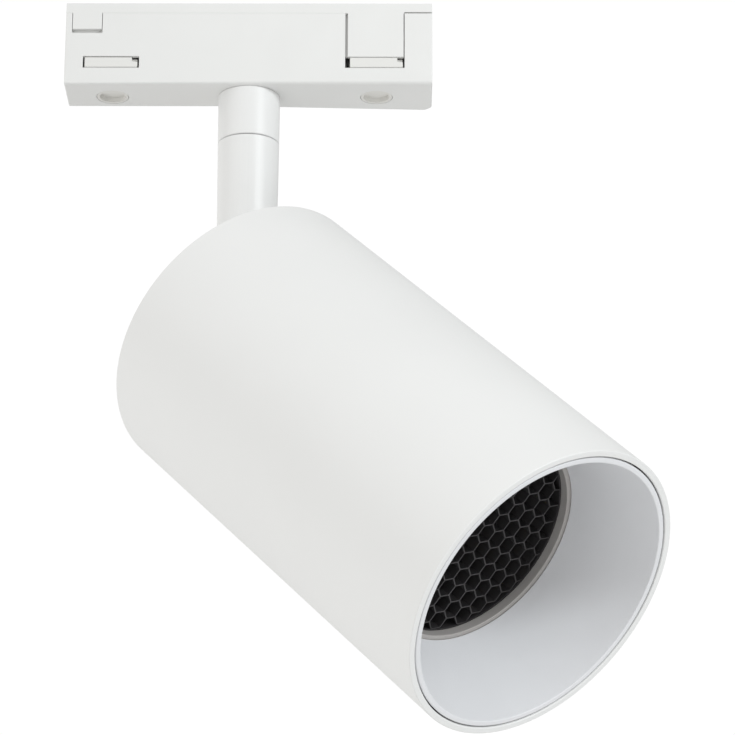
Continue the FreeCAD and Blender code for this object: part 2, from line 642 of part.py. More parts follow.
def led_stack():
    """Metal-backed board, emitter, holder and its screws."""
    board = cylinder("led_disc", "board_radius", "1.5", ("0", "0", LED_BASE))
    holes = [cylinder("led_hole_%d" % index, "1.1", "6", led_screw_spot(index, LED_BASE + " - 2"))
             for index in range(2)]
    wire_notch = cylinder("led_wire_notch", "2.2", "6", ("0", "-13", LED_BASE + " - 2"))
    keep(cut("led_plate", board, holes + [wire_notch]), "led_board", head_place())
    keep(disc("led_chip", "6.2", LED_BASE + " + 1.5", LED_BASE + " + 2.3"), "led_emitter", head_place())
    holder = ring("holder_ring", "7.2", "board_radius", LED_BASE + " + 1.55", LED_BASE + " + 3.6")
    holder_holes = [cylinder("holder_hole_%d" % index, "1.1", "6", led_screw_spot(index, LED_BASE))
                    for index in range(2)]
    wire_gap = box("holder_gap", ("4.4", "9", "6"), ("-2.2", "-16", LED_BASE))
    keep(cut("holder", holder, holder_holes + [wire_gap]), "led_holder", head_place())
    screws = []
    for index in range(2):
        shank = cylinder("led_shank_%d" % index, "1.0", "7", led_screw_spot(index, LED_BASE + " - 3.2"))
        head = cylinder("led_head_%d" % index, "1.8", "1.2", led_screw_spot(index, LED_BASE + " + 3.62"))
        recess = hexagon("led_recess_%d" % index, "1.3", "1", led_screw_spot(index, LED_BASE + " + 4.2"))
        screws.append(cut("led_screw_%d" % index, fuse("led_screw_body_%d" % index, [shank, head]), [recess]))
    keep(fuse("led_screw_pair", screws), "led_screws", head_place())


def reflector():
    """Bowl whose wall follows a parabola from the throat to the mouth."""
    steps = 8
    inner = []
    for index in range(steps + 1):
        part = index / steps
        radius = "reflector_throat + (reflector_mouth - reflector_throat) * %.4f" % math.sqrt(part)
        inner.append((radius, "reflector_low + (reflector_high - reflector_low) * %.4f" % part))
    outer = [("%s + 0.9" % radius, height) for radius, height in reversed(inner)]
    keep(lathe("reflector_bowl", inner + outer), "reflector", head_place())


def optic_ring():
    """Ring that centres the reflector, and that the snoot's tail meets."""
    low = "reflector_high - 1.4"
    keep(lathe("optic_ring_body", [
        ("reflector_mouth + 1.1", low), ("shell_radius - shell_wall - 0.15", low),
        ("shell_radius - shell_wall - 0.15", low + " + 6"), ("shell_radius - shell_wall - 2", low + " + 6"),
        ("shell_radius - shell_wall - 2", low + " + 1.8"), ("reflector_mouth + 1.1", low + " + 1.8"),
    ]), "optic_ring", head_place())


def lens():
    """Cover glass over the reflector, with its gasket."""
    low = "reflector_high + 0.5"
    keep(disc("lens_disc", "28.6", low, low + " + 2"), "lens", head_place())
    keep(ring("gasket_ring", "28.75", "31.2", low, low + " + 1.9"), "lens_gasket", head_place())


LOUVRE_TOP = "shell_front - louvre_depth"


def cell_outline(across, up, reach, height):
    """Closed outline of one hexagonal cell, turned with the sheet it was cut from."""
    turn = math.radians(size("louvre_turn"))
    corners = []
    for corner in range(7):
        angle = math.radians(30 + 60 * corner)
        x = across + reach * math.cos(angle)
        y = up + reach * math.sin(angle)
        corners.append(FreeCAD.Vector(x * math.cos(turn) - y * math.sin(turn),
                                      x * math.sin(turn) + y * math.cos(turn), height))
    return Part.makePolygon(corners)


def louvre():
    """Honeycomb disc: through cells, cut off by a plain rim."""
    pitch = size("cell_pitch")
    reach = (pitch - size("cell_wall")) / math.sqrt(3)
    thickness = size("louvre_thickness")
    low = worth(LOUVRE_TOP) - thickness
    centre = FreeCAD.Vector(0, 0, low)
    rim = size("louvre_ring_radius") - 0.1
    rim_face = Part.Face(Part.Wire(Part.makeCircle(rim, centre)))
    smallest_cell = pitch * pitch * 0.06
    wires = [Part.Wire(Part.makeCircle(size("louvre_radius"), centre))]
    rows = int(rim / pitch) + 3
    for row in range(-rows, rows + 1):
        for column in range(-rows, rows + 1):
            across = (column + (row % 2) / 2) * pitch + size("louvre_across")
            up = row * pitch * math.sqrt(3) / 2 + size("louvre_along")
            if math.hypot(across, up) - reach > rim:
                continue
            outline_wire = cell_outline(across, up, reach, low)
            if math.hypot(across, up) + reach > rim:
                clipped = Part.Face(outline_wire).common(rim_face)
                if clipped.Area < smallest_cell:
                    continue
                outline_wire = clipped.Faces[0].OuterWire
            wires.append(outline_wire)
    solid = Part.Face(wires, "Part::FaceMakerBullseye").extrude(FreeCAD.Vector(0, 0, thickness))
    keep(free_shape("louvre_cells", solid), "honeycomb_louvre", head_place())


def louvre_ring():
    """Ring that holds the louvre in the snoot."""
    keep(ring("louvre_ring_body", "louvre_ring_radius", "louvre_radius", LOUVRE_TOP + " + 0.05",
              "shell_front - cone_depth - 0.1"), "louvre_ring", head_place())


def snoot():
    """Tapered baffle with a flat lip at the mouth and a tail that holds the louvre."""
    front = "shell_front - 0.2"
    seat = "shell_front - cone_depth"
    tail = "reflector_high + 2.6"
    keep(lathe("snoot_body", [
        ("lip_radius", front), ("snoot_outer", front), ("snoot_outer", front + " - 9"),
        ("snoot_outer - 1.2", front + " - 9"), ("snoot_outer - 1.2", front + " - 2.4"),
        ("lip_radius - 0.3", front + " - 2.4"),
        ("cone_radius + 2.4", seat + " - 0.2"), ("cone_radius + 2.4", tail), ("louvre_radius + 0.1", tail),
        ("louvre_radius + 0.1", seat), ("cone_radius", seat),
    ]), "snoot", head_place())


def snoot_clips():
    """Three short spring arcs between the snoot's skirt and the tail of the cone."""
    full = ring("clip_ring", "cone_radius + 2.5", "cone_radius + 4.2", "reflector_high + 2.8",
                "reflector_high + 6.6")
    wedges = []
    for index in range(3):
        block = box("clip_wedge_%d" % index, ("10", "60", "12"), ("-5", "20", "reflector_high + 1"))
        turn = FreeCAD.Rotation(FreeCAD.Vector(0, 0, 1), 120 * index)
        spot = turn.multVec(FreeCAD.Vector(-5, 20, 0))
        block.setExpression("Placement.Base.x", None)
        block.setExpression("Placement.Base.y", None)
        block.Placement = FreeCAD.Placement(FreeCAD.Vector(spot.x, spot.y, size("reflector_high") + 1), turn)
        wedges.append(block)
    clips = doc.addObject("Part::Common", "clip_common")
    clips.Base = full
    clips.Tool = fuse("clip_wedges", wedges)
    keep(clips, "snoot_clips", head_place())


def head_wires():
    """The two leads inside the head, from the grommet through the heat sink to the light source."""
    cap = size("cap_height")
    base = worth(LED_BASE)
    wires = []
    for side in (-1, 1):
        across = side * size("wire_spacing")
        spots = [FreeCAD.Vector(across, -15, cap - 3), FreeCAD.Vector(across, -15, cap + 6),
                 FreeCAD.Vector(across, -13, cap + 9.6), FreeCAD.Vector(across, -13, base + 2.25),
                 FreeCAD.Vector(across, -8.6, base + 2.25)]
        wires.append(round_wire(spots, 1.35, size("wire_radius")))
    keep(free_shape("head_leads", Part.makeCompound(wires)), "head_wires", head_place())


def build_adapter():
    """Every piece of the adapter, with its keys and tongues."""
    adapter_housing()
    contact_carrier()
    contact_blades()
    driver_board()
    driver_parts()
    feed_wires()
    for side in ("left", "right"):
        lock_key(side, "lock_key_" + side)
        lock_tongue(side, "lock_tongue_" + side)
    housing_screws()


def build_stem():
    """Every piece between the adapter and the hinge pin."""
    stem_collar()
    nipple()
    nipple_nut()
    pan_hardware()
    swivel_arm()
    hinge_knuckle()
    knuckle_screw()
    arm_wires()


def build_head():
    """Every piece of the head."""
    barrel_shell()
    rear_cap()
    cap_screws()
    hinge_pin()
    friction_washers()
    cable_grommet()
    heat_sink()
    led_stack()
    reflector()
    optic_ring()
    lens()
    louvre()
    louvre_ring()
    snoot()
    snoot_clips()
    head_wires()


def check_document():
    """Stop if any object failed to build or any sub-part has no valid shape."""
    for item in doc.Objects:
        if "Invalid" in item.State or "Error" in item.State:
            raise RuntimeError("%s did not build: %s" % (item.Name, item.State))
    for item in NODES:
        if item.Shape.isNull() or not item.Shape.isValid() or item.Shape.Volume <= 0:
            raise RuntimeError("%s has no valid shape" % item.Label)


def write_parts():
    """Write each sub-part to its own file."""
    os.makedirs("parts", exist_ok=True)
    for item in NODES:
        item.Shape.exportStep("parts/%s.step" % item.Label)
        print("%-20s %9.1f mm3, solids %d" % (item.Label, item.Shape.Volume, len(item.Shape.Solids)))


fill_sheet()
build_adapter()
build_stem()
build_head()
doc.recompute()
check_document()
write_parts()
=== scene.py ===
"""Looks of a cylindrical track spotlight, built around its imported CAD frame.

The adapter stays in the track, the arm pans under it, and the head tilts on the arm's lower end.
Every piece is in metres, in the frame of the CAD.
"""

import json
import logging
import math
from dataclasses import dataclass
from enum import Enum
from typing import Callable, Dict, List, Optional, Sequence, Tuple

import bmesh
import bpy
from mathutils import Matrix, Vector


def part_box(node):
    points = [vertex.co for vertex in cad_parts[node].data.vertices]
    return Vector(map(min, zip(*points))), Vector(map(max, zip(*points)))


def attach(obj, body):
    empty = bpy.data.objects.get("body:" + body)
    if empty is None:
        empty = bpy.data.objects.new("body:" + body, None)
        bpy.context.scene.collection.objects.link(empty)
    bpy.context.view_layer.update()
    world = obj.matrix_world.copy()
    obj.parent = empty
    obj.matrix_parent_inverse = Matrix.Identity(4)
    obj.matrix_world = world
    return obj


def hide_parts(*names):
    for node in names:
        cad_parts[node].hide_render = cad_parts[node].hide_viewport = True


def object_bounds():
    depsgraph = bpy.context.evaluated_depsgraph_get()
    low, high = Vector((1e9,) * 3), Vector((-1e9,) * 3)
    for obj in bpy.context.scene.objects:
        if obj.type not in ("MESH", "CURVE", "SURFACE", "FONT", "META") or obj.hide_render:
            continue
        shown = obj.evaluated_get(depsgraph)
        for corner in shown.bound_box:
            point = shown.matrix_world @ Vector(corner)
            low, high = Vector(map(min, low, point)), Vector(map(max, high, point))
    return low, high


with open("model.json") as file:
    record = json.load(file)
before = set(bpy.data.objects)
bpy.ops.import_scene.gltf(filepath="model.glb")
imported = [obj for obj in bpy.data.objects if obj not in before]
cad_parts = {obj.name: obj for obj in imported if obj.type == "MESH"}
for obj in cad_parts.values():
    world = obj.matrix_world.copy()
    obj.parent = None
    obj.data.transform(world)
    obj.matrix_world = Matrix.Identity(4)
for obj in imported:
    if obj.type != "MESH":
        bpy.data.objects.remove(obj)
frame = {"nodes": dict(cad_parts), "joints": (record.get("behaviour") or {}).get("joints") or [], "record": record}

CAD_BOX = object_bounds()
LOG = logging.getLogger("spotlight")
MM = 0.001
NEAR = 0.02 * MM  # two heights or places closer than this are the same
MERGE = 2e-6  # corners of a CAD mesh closer than this are one corner
FLAT = math.radians(0.6)  # faces that meet flatter than this are one face
CREASE = math.radians(28)  # edges of a CAD node that turn more than this are rounded
ON_AXIS = 1e-6  # a point closer to the axis than this is on it
STRAIGHT = math.radians(168)  # corners of an outline blunter than this stay as they are
LARGE_FACES = 80  # how strongly a rounding's normals follow the large faces, out of 100
CLOSE_UP = 3  # bevel steps of an edge that is seen from close by
Profile = List[Tuple[float, float]]
Colour = Tuple[float, float, float]
Edges = Tuple[Tuple[str, float], ...]


class Body(Enum):
    """The moving bodies of the light."""

    ADAPTER = "adapter"
    ARM = "arm"
    HEAD = "head"
    KEY_LEFT = "key_left"
    KEY_RIGHT = "key_right"
    TONGUE_LEFT = "tongue_left"
    TONGUE_RIGHT = "tongue_right"


class Lay(Enum):
    """How a brushed or turned metal's fine lines lie."""

    NONE = "none"
    ROUND = "round"
    ALONG = "along"


# ---------------------------------------------------------------- axes of the two joints


@dataclass(frozen=True)
class Axis:
    """A turning axis with its own right-handed directions.

    Attributes:
        origin: point of the axis where height is 0.
        across: local X.
        up: local Y.
        along: local Z, the axis itself.
    """

    origin: Vector
    across: Vector
    up: Vector
    along: Vector

    def matrix(self) -> Matrix:
        """Local to CAD frame, as a 4x4 matrix."""
        turn = Matrix((self.across, self.up, self.along)).transposed().to_4x4()
        return Matrix.Translation(self.origin) @ turn

    def polar(self, spot: Vector) -> Tuple[float, float]:
        """Radius and height of a CAD-frame point about the axis."""
        offset = spot - self.origin
        return math.hypot(offset.dot(self.across), offset.dot(self.up)), offset.dot(self.along)


def joint(name: str) -> dict:
    """The frame's joint of that name."""
    return next(item for item in frame["joints"] if item["name"] == name)


def pan_axis() -> Axis:
    """The stem's axis, with height 0 at the track seat.

    Returns:
        The axis.
    """
    across = -Vector(joint("tilt")["axis"])
    along = Vector((0, 0, 1))
    return Axis(Vector((0, 0, 0)), across, along.cross(across), along)


def head_axis() -> Axis:
    """The barrel's axis, with height 0 at the hinge pin and Z towards the mouth.

    Returns:
        The axis.
    """
    hinge = joint("tilt")
    across = -Vector(hinge["axis"])
    lean = math.radians(-hinge["range_deg"][0])
    along = Matrix.Rotation(lean, 3, -across) @ Vector((0, 0, -1))
    return Axis(Vector(hinge["pos_m"]), across, along.cross(across), along)


PAN = pan_axis()
HEAD = head_axis()


# ---------------------------------------------------------------- shader groups


class Nodes:
    """Short way to build a node tree: add a node, set its sockets, join them."""

    def __init__(self, tree: bpy.types.NodeTree) -> None:
        """Start on an empty tree.

        Args:
            tree: shader or geometry node tree.
        """
        self.tree = tree
        tree.nodes.clear()

    def add(self, kind: str, inputs: Optional[dict] = None, **settings: object) -> bpy.types.Node:
        """Add a node.

        Args:
            kind: the node's class name.
            inputs: values or output sockets by input name or index.
            settings: plain properties of the node.

        Returns:
            The new node.
        """
        node = self.tree.nodes.new(kind)
        for name, value in settings.items():
            setattr(node, name, value)
        for key, value in (inputs or {}).items():
            self.join(value, node.inputs[key])
        return node

    def join(self, value: object, socket: bpy.types.NodeSocket) -> None:
        """Link an output socket to an input, or set the input's own value.

        Args:
            value: an output socket, or a plain value.
            socket: the input that gets it.
        """
        if isinstance(value, bpy.types.NodeSocket):
            self.tree.links.new(value, socket)
        else:
            socket.default_value = value

    def math(self, operation: str, first: object, second: object = 0.0) -> bpy.types.NodeSocket:
        """Result socket of a math node."""
        inputs = {0: first, 1: second}
        return self.add("ShaderNodeMath", inputs, operation=operation).outputs[0]

    def mix(self, share: object, first: object, second: object) -> bpy.types.NodeSocket:
        """Colour socket that goes from first to second as share rises."""
        return self.add("ShaderNodeMix", {0: share, 6: first, 7: second}, data_type="RGBA").outputs[2]

    def ramp(self, value: object, low: float, high: float, start: float,
             end: float) -> bpy.types.NodeSocket:
        """Value mapped smoothly from low..high to start..end."""
        inputs = {"Value": value, "From Min": low, "From Max": high, "To Min": start, "To Max": end}
        return self.add("ShaderNodeMapRange", inputs, interpolation_type="SMOOTHSTEP").outputs[0]


GROUPS: Dict[str, bpy.types.NodeTree] = {}
NIB_SIZE = 0.12  # share of its cell that a nib in the coat takes up
NIB_HEIGHT = 0.35  # height of a nib where the orange peel's is 1
COAT_DRIFT, FLOW_DRIFT, TOOL_DRIFT = 22.0, 38.0, 60.0  # slow changes per metre
DRIFT_LOW, DRIFT_HIGH = 0.25, 0.75  # drift at which the roughness has its least and most


def group(name: str, inputs: Dict[str, float], outputs: Sequence[str],
          fill: Callable[[Nodes, bpy.types.Node], dict]) -> bpy.types.NodeTree:
    """Shader group made once, with a vector input first.

    Args:
        name: the group's name.
        inputs: float inputs and their defaults.
        outputs: float outputs.
        fill: builds the inside from the group's input node and returns its outputs by name.

    Returns:
        The node group.
    """
    if name in GROUPS:
        return GROUPS[name]
    tree = bpy.data.node_groups.new(name, "ShaderNodeTree")
    tree.interface.new_socket("Vector", in_out="INPUT", socket_type="NodeSocketVector")
    for label, value in inputs.items():
        socket = tree.interface.new_socket(label, in_out="INPUT", socket_type="NodeSocketFloat")
        socket.default_value = value
    for label in outputs:
        tree.interface.new_socket(label, in_out="OUTPUT", socket_type="NodeSocketFloat")
    nodes = Nodes(tree)
    entry = nodes.add("NodeGroupInput")
    leave = nodes.add("NodeGroupOutput")
    for label, socket in fill(nodes, entry).items():
        tree.links.new(socket, leave.inputs[label])
    GROUPS[name] = tree
    return tree


def coat_skin_group() -> bpy.types.NodeTree:
    """Sprayed or powder coat: fine orange peel with a few tiny nibs, and a slow drift.

    Returns:
        The group, with outputs Height and Drift.
    """

    def fill(nodes: Nodes, entry: bpy.types.Node) -> dict:
        """Inside of the group.

        Args:
            nodes: the group's nodes.
            entry: its input node.

        Returns:
            Output sockets by name.
        """
        vector = entry.outputs["Vector"]
        peel = nodes.add("ShaderNodeTexNoise", {"Vector": vector, "Scale": entry.outputs["Peel Scale"],
                                                "Detail": 2.0, "Roughness": 0.5})
        nibs = nodes.add("ShaderNodeTexVoronoi", {"Vector": vector, "Scale": entry.outputs["Nib Scale"]})
        nib = nodes.ramp(nibs.outputs["Distance"], 0.0, NIB_SIZE, 1.0, 0.0)
        drift = nodes.add("ShaderNodeTexNoise", {"Vector": vector, "Scale": COAT_DRIFT, "Detail": 3.0})
        height = nodes.math("ADD", peel.outputs[0], nodes.math("MULTIPLY", nib, NIB_HEIGHT))
        return {"Height": height, "Drift": drift.outputs[0]}

    return group("coat_skin", {"Peel Scale": 1500.0, "Nib Scale": 420.0}, ("Height", "Drift"), fill)


def mould_skin_group() -> bpy.types.NodeTree:
    """Moulded plastic: spark-eroded fine texture and a slow flow drift.

    Returns:
        The group, with outputs Height and Drift.
    """

    def fill(nodes: Nodes, entry: bpy.types.Node) -> dict:
        """Inside of the group.

        Args:
            nodes: the group's nodes.
            entry: its input node.

        Returns:
            Output sockets by name.
        """
        vector = entry.outputs["Vector"]
        spark = nodes.add("ShaderNodeTexNoise", {"Vector": vector, "Scale": entry.outputs["Spark Scale"],
                                                 "Detail": 4.0, "Roughness": 0.7})
        flow = nodes.add("ShaderNodeTexNoise", {"Vector": vector, "Scale": FLOW_DRIFT, "Detail": 2.0,
                                                "Distortion": 0.8})
        return {"Height": spark.outputs[0], "Drift": flow.outputs[0]}

    return group("mould_skin", {"Spark Scale": 2600.0}, ("Height", "Drift"), fill)


def tool_marks_group() -> bpy.types.NodeTree:
    """Fine lines left by turning or drawing, from a coordinate that runs across them.

    Returns:
        The group, with outputs Height and Drift.
    """

    def fill(nodes: Nodes, entry: bpy.types.Node) -> dict:
        """Inside of the group.

        Args:
            nodes: the group's nodes.
            entry: its input node.

        Returns:
            Output sockets by name.
        """
        vector = entry.outputs["Vector"]
        lines = nodes.add("ShaderNodeTexNoise", {"Vector": vector, "Scale": entry.outputs["Line Scale"],
                                                 "Detail": 3.0, "Roughness": 0.65})
        wide = nodes.add("ShaderNodeTexNoise", {"Vector": vector, "Scale": TOOL_DRIFT, "Detail": 2.0})
        return {"Height": lines.outputs[0], "Drift": wide.outputs[0]}

    return group("tool_marks", {"Line Scale": 900.0}, ("Height", "Drift"), fill)


# ---------------------------------------------------------------- finishes


def shade(colour: Colour, factor: float) -> Tuple[float, float, float, float]:
    """The colour, darker or lighter, with alpha."""
    return tuple(min(1.0, max(0.0, part * factor)) for part in colour) + (1.0,)


@dataclass(frozen=True)
class Finish:
    """A finish that builds one Principled material.

    Attributes:
        name: the material's name.
        colour: base colour.
        rough: roughness at the middle of its spread.
        spread: how much the roughness changes over the surface.
        drift: how much the colour changes over the surface.
        bump: height of the fine relief, in metres.
    """

    name: str
    colour: Colour
    rough: float = 0.5
    spread: float = 0.06
    drift: float = 0.03
    bump: float = 0.00001

    def skin(self, nodes: Nodes) -> bpy.types.Node:
        """The group node that gives Height and Drift."""
        raise NotImplementedError(self.name)

    @staticmethod
    def group_node(nodes: Nodes, tree: bpy.types.NodeTree, vector: bpy.types.NodeSocket,
                   **values: float) -> bpy.types.Node:
        """Place a shader group fed with a vector and its own values.

        Args:
            nodes: the material's nodes.
            tree: the shader group.
            vector: coordinates that it reads.
            values: its other inputs, named in lower case.

        Returns:
            The group's node.
        """
        node = nodes.add("ShaderNodeGroup", node_tree=tree)
        nodes.join(vector, node.inputs["Vector"])
        for label, value in values.items():
            nodes.join(value, node.inputs[label.replace("_", " ").title()])
        return node

    def settings(self) -> Dict[str, object]:
        """Even values for the shader's own sockets."""
        return {}

    def extra(self, nodes: Nodes, shader: bpy.types.Node) -> None:
        """Anything that this finish adds to the shader."""

    def build(self) -> bpy.types.Material:
        """Make the material.

        Returns:
            The finished material.
        """
        material = bpy.data.materials.new(self.name)
        material.use_nodes = True
        nodes = Nodes(material.node_tree)
        skin = self.skin(nodes)
        shader = nodes.add("ShaderNodeBsdfPrincipled")
        colour = nodes.mix(skin.outputs["Drift"], shade(self.colour, 1 - self.drift),
                           shade(self.colour, 1 + self.drift))
        nodes.join(colour, shader.inputs["Base Color"])
        rough = nodes.ramp(skin.outputs["Drift"], DRIFT_LOW, DRIFT_HIGH, self.rough - self.spread,
                           self.rough + self.spread)
        nodes.join(rough, shader.inputs["Roughness"])
        bump = nodes.add("ShaderNodeBump", {"Strength": 1.0, "Distance": self.bump,
                                            "Height": skin.outputs["Height"]})
        nodes.join(bump.outputs[0], shader.inputs["Normal"])
        for label, value in self.settings().items():
            shader.inputs[label].default_value = value
        self.extra(nodes, shader)
        output = nodes.add("ShaderNodeOutputMaterial")
        nodes.join(shader.outputs[0], output.inputs[0])
        return material


@dataclass(frozen=True)
class Coat(Finish):
    """Powder or spray coat."""

    peel: float = 1500.0

    def skin(self, nodes: Nodes) -> bpy.types.Node:
        """Orange peel on Object coordinates.

        Args:
            nodes: the material's nodes.

        Returns:
            The group's node.
        """
        place = nodes.add("ShaderNodeTexCoord").outputs["Object"]
        return self.group_node(nodes, coat_skin_group(), place, peel_scale=self.peel)


@dataclass(frozen=True)
class Grille(Coat):
    """Dark coat with a painted highlight: the faces that look out of the mouth are painted paler, standing in for
    the light they catch.

    Attributes:
        pale: how much brighter those faces are painted, as painted highlight.
        side: facing, from 0 to 1, up to which a face is still a cell wall.
        front: facing from which a face is a front edge.
    """

    pale: float = 1.5
    side: float = 0.6
    front: float = 0.95

    def extra(self, nodes: Nodes, shader: bpy.types.Node) -> None:
        """Painted highlight: paler front edges, told from the cell walls by their normal.

        Args:
            nodes: the material's nodes.
            shader: its Principled shader.
        """
        normal = nodes.add("ShaderNodeTexCoord").outputs["Normal"]
        facing = nodes.add("ShaderNodeVectorMath", {0: normal, 1: HEAD.along}, operation="DOT_PRODUCT")
        front = nodes.ramp(facing.outputs["Value"], self.side, self.front, 0.0, 1.0)
        # painted highlight: faces that look out of the mouth get a paler base colour than the cell walls
        colour = nodes.mix(front, shade(self.colour, 1.0), shade(self.colour, self.pale))
        nodes.join(colour, shader.inputs["Base Color"])


@dataclass(frozen=True)
class Moulded(Finish):
    """Moulded plastic or rubber."""

    spark: float = 2600.0

    def skin(self, nodes: Nodes) -> bpy.types.Node:
        """Spark texture on Object coordinates.

        Args:
            nodes: the material's nodes.

        Returns:
            The group's node.
        """
        place = nodes.add("ShaderNodeTexCoord").outputs["Object"]
        return self.group_node(nodes, mould_skin_group(), place, spark_scale=self.spark)


@dataclass(frozen=True)
class Metal(Finish):
    """Bare or plated metal with tool marks."""

    lay: Lay = Lay.ALONG
    lines: float = 900.0

    def skin(self, nodes: Nodes) -> bpy.types.Node:
        """Tool marks on Object coordinates, squeezed so that the lines run one way.

        Args:
            nodes: the material's nodes.

        Returns:
            The group's node.
        """
        place = nodes.add("ShaderNodeTexCoord").outputs["Object"]
        stretch = {Lay.NONE: (1, 1, 1), Lay.ROUND: (0.05, 0.05, 1), Lay.ALONG: (1, 1, 0.05)}[self.lay]
        spread = nodes.add("ShaderNodeMapping", {"Vector": place, "Scale": stretch})
        return self.group_node(nodes, tool_marks_group(), spread.outputs[0], line_scale=self.lines)

    def settings(self) -> Dict[str, object]:
        """Full metal."""
        return {"Metallic": 1.0}


@dataclass(frozen=True)
class Board(Moulded):
    """Circuit board: solder mask over fine straight tracks."""

    spark: float = 1800.0

    def extra(self, nodes: Nodes, shader: bpy.types.Node) -> None:
        """Lighter copper tracks under the mask, as a brick pattern's mortar lines.

        Args:
            nodes: the material's nodes.
            shader: its Principled shader.
        """
        place = nodes.add("ShaderNodeTexCoord").outputs["Object"]
        tracks = nodes.add("ShaderNodeTexBrick", {
            "Vector": place, "Scale": 260.0, "Mortar Size": 0.06, "Color1": shade(self.colour, 1.0),
            "Color2": shade(self.colour, 1.25), "Mortar": shade(self.colour, 2.2)})
        nodes.join(tracks.outputs["Color"], shader.inputs["Base Color"])


@dataclass(frozen=True)
class Phosphor(Moulded):
    """Yellow phosphor in clear silicone, with a fine grain."""

    spark: float = 4200.0

    def settings(self) -> Dict[str, object]:
        """Soft silicone surface."""
        return {"Subsurface Weight": 0.2, "Subsurface Radius": (0.001, 0.0007, 0.0002)}


@dataclass(frozen=True)
class Glass(Moulded):
    """Clear cover glass with a faint smear in its roughness."""

    spark: float = 90.0

    def settings(self) -> Dict[str, object]:
        """Transmitting glass."""
        return {"Transmission Weight": 1.0, "IOR": 1.5}


FINISHES: Dict[str, Finish] = {
    "adapter_white": Moulded("adapter_plastic", (0.80, 0.80, 0.79), 0.46, bump=0.000006),
    "coat_white": Coat("white_powder_coat", (0.82, 0.82, 0.815), 0.42, bump=0.000008),
    "snoot_white": Moulded("white_snoot_plastic", (0.775, 0.78, 0.80), 0.42, bump=0.000006, spark=1900.0),
    "key_white": Moulded("key_plastic", (0.76, 0.75, 0.72), 0.5),
    "tongue_beige": Moulded("tongue_plastic", (0.775, 0.77, 0.75), 0.5),
    # louvre_black: its front faces carry a painted highlight
    "louvre_black": Grille("black_louvre_coat", (0.03, 0.028, 0.029), 0.6, drift=0.2, peel=2400.0),
    "ring_grey": Moulded("grey_ring_plastic", (0.42, 0.40, 0.385), 0.5),
    "ring_black": Moulded("black_ring_plastic", (0.02, 0.02, 0.02), 0.5),
    "contact_brass": Metal("contact_bronze", (0.78, 0.55, 0.28), 0.28),
    "zinc_steel": Metal("zinc_plated_steel", (0.62, 0.63, 0.65), 0.32, lay=Lay.NONE),
    "spring_steel": Metal("spring_steel", (0.5, 0.5, 0.51), 0.3),
    "cast_grey": Metal("machined_aluminium", (0.66, 0.67, 0.68), 0.38, lay=Lay.ROUND, lines=700.0),
    "mirror_bright": Metal("mirror_aluminium", (0.9, 0.9, 0.91), 0.08, spread=0.02, bump=0.000002,
                           lay=Lay.NONE),
    "board_green": Board("circuit_board", (0.02, 0.12, 0.05), 0.35),
    "component_black": Moulded("component_resin", (0.03, 0.03, 0.033), 0.45, drift=0.3),
    "wire_sheath": Moulded("wire_sheath", (0.52, 0.52, 0.52), 0.45),
    "washer_nylon": Moulded("natural_nylon", (0.7, 0.69, 0.63), 0.5),
    "grommet_rubber": Moulded("black_rubber", (0.03, 0.03, 0.03), 0.7, bump=0.00002, spark=1400.0),
    "phosphor_yellow": Phosphor("phosphor", (0.85, 0.58, 0.1), 0.5),
    "holder_white": Moulded("holder_plastic", (0.8, 0.8, 0.78), 0.5),
    "lens_glass": Glass("cover_glass", (1.0, 1.0, 1.0), 0.03, spread=0.015, drift=0.0, bump=0.0),
}
FLOOR_PAINT = Moulded("floor_paint", (0.92, 0.92, 0.92), 0.8, spark=60.0)


class Wardrobe:
    """Builds each finish once and hands it out by the record's slot name."""

    def __init__(self) -> None:
        """Read which slot each CAD node belongs to."""
        self.made: Dict[str, bpy.types.Material] = {}
        self.slots = {part["node"]: part["material_slot"] for part in frame["record"]["subparts"]}

    def material(self, slot: str) -> bpy.types.Material:
        """The material of a slot.

        Args:
            slot: the record's slot name.

        Returns:
            The material, built at its first use.
        """
        if slot not in self.made:
            self.made[slot] = FINISHES[slot].build()
        return self.made[slot]

    def dress_node(self, node: str) -> None:
        """Give a CAD node that stays its material.

        Args:
            node: the CAD node.
        """
        item = frame["nodes"][node]
        item.data.materials.clear()
        item.data.materials.append(self.material(self.slots[node]))

    def dress(self, piece: bpy.types.Object, body: Body, *nodes: str) -> bpy.types.Object:
        """Give a new piece its material and body, and hide the CAD nodes it stands for.

        Args:
            piece: the finished mesh object.
            body: the body it moves with.
            nodes: CAD nodes that it replaces; the first one's slot is its slot.

        Returns:
            The same piece.
        """
        slot = self.slots[nodes[0]]
        if not piece.data.materials:
            piece.data.materials.append(self.material(slot))
        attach(piece, body.value)
        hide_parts(*nodes)
        LOG.info("%s: %d faces, rides on %s, stands for %s", piece.name, len(piece.data.polygons),
                 body.value, ", ".join(nodes))
        return piece


# ---------------------------------------------------------------- mesh work


def new_piece(name: str, mesh: bpy.types.Mesh) -> bpy.types.Object:
    """Link a mesh as a new object at the origin.

    Args:
        name: name of the object and its mesh.
        mesh: the mesh.

    Returns:
        The new object.
    """
    mesh.name = name
    piece = bpy.data.objects.new(name, mesh)
    bpy.context.scene.collection.objects.link(piece)
    return piece


def baked(piece: bpy.types.Object) -> bpy.types.Object:
    """Replace a piece's mesh with its evaluated one and drop its modifiers.

    Args:
        piece: object whose modifiers are to be applied.

    Returns:
        The same piece.
    """
    bpy.context.view_layer.update()
    graph = bpy.context.evaluated_depsgraph_get()
    mesh = bpy.data.meshes.new_from_object(piece.evaluated_get(graph), preserve_all_data_layers=True,
                                           depsgraph=graph)
    piece.modifiers.clear()
    piece.data = mesh
    mesh.name = piece.name
    return piece


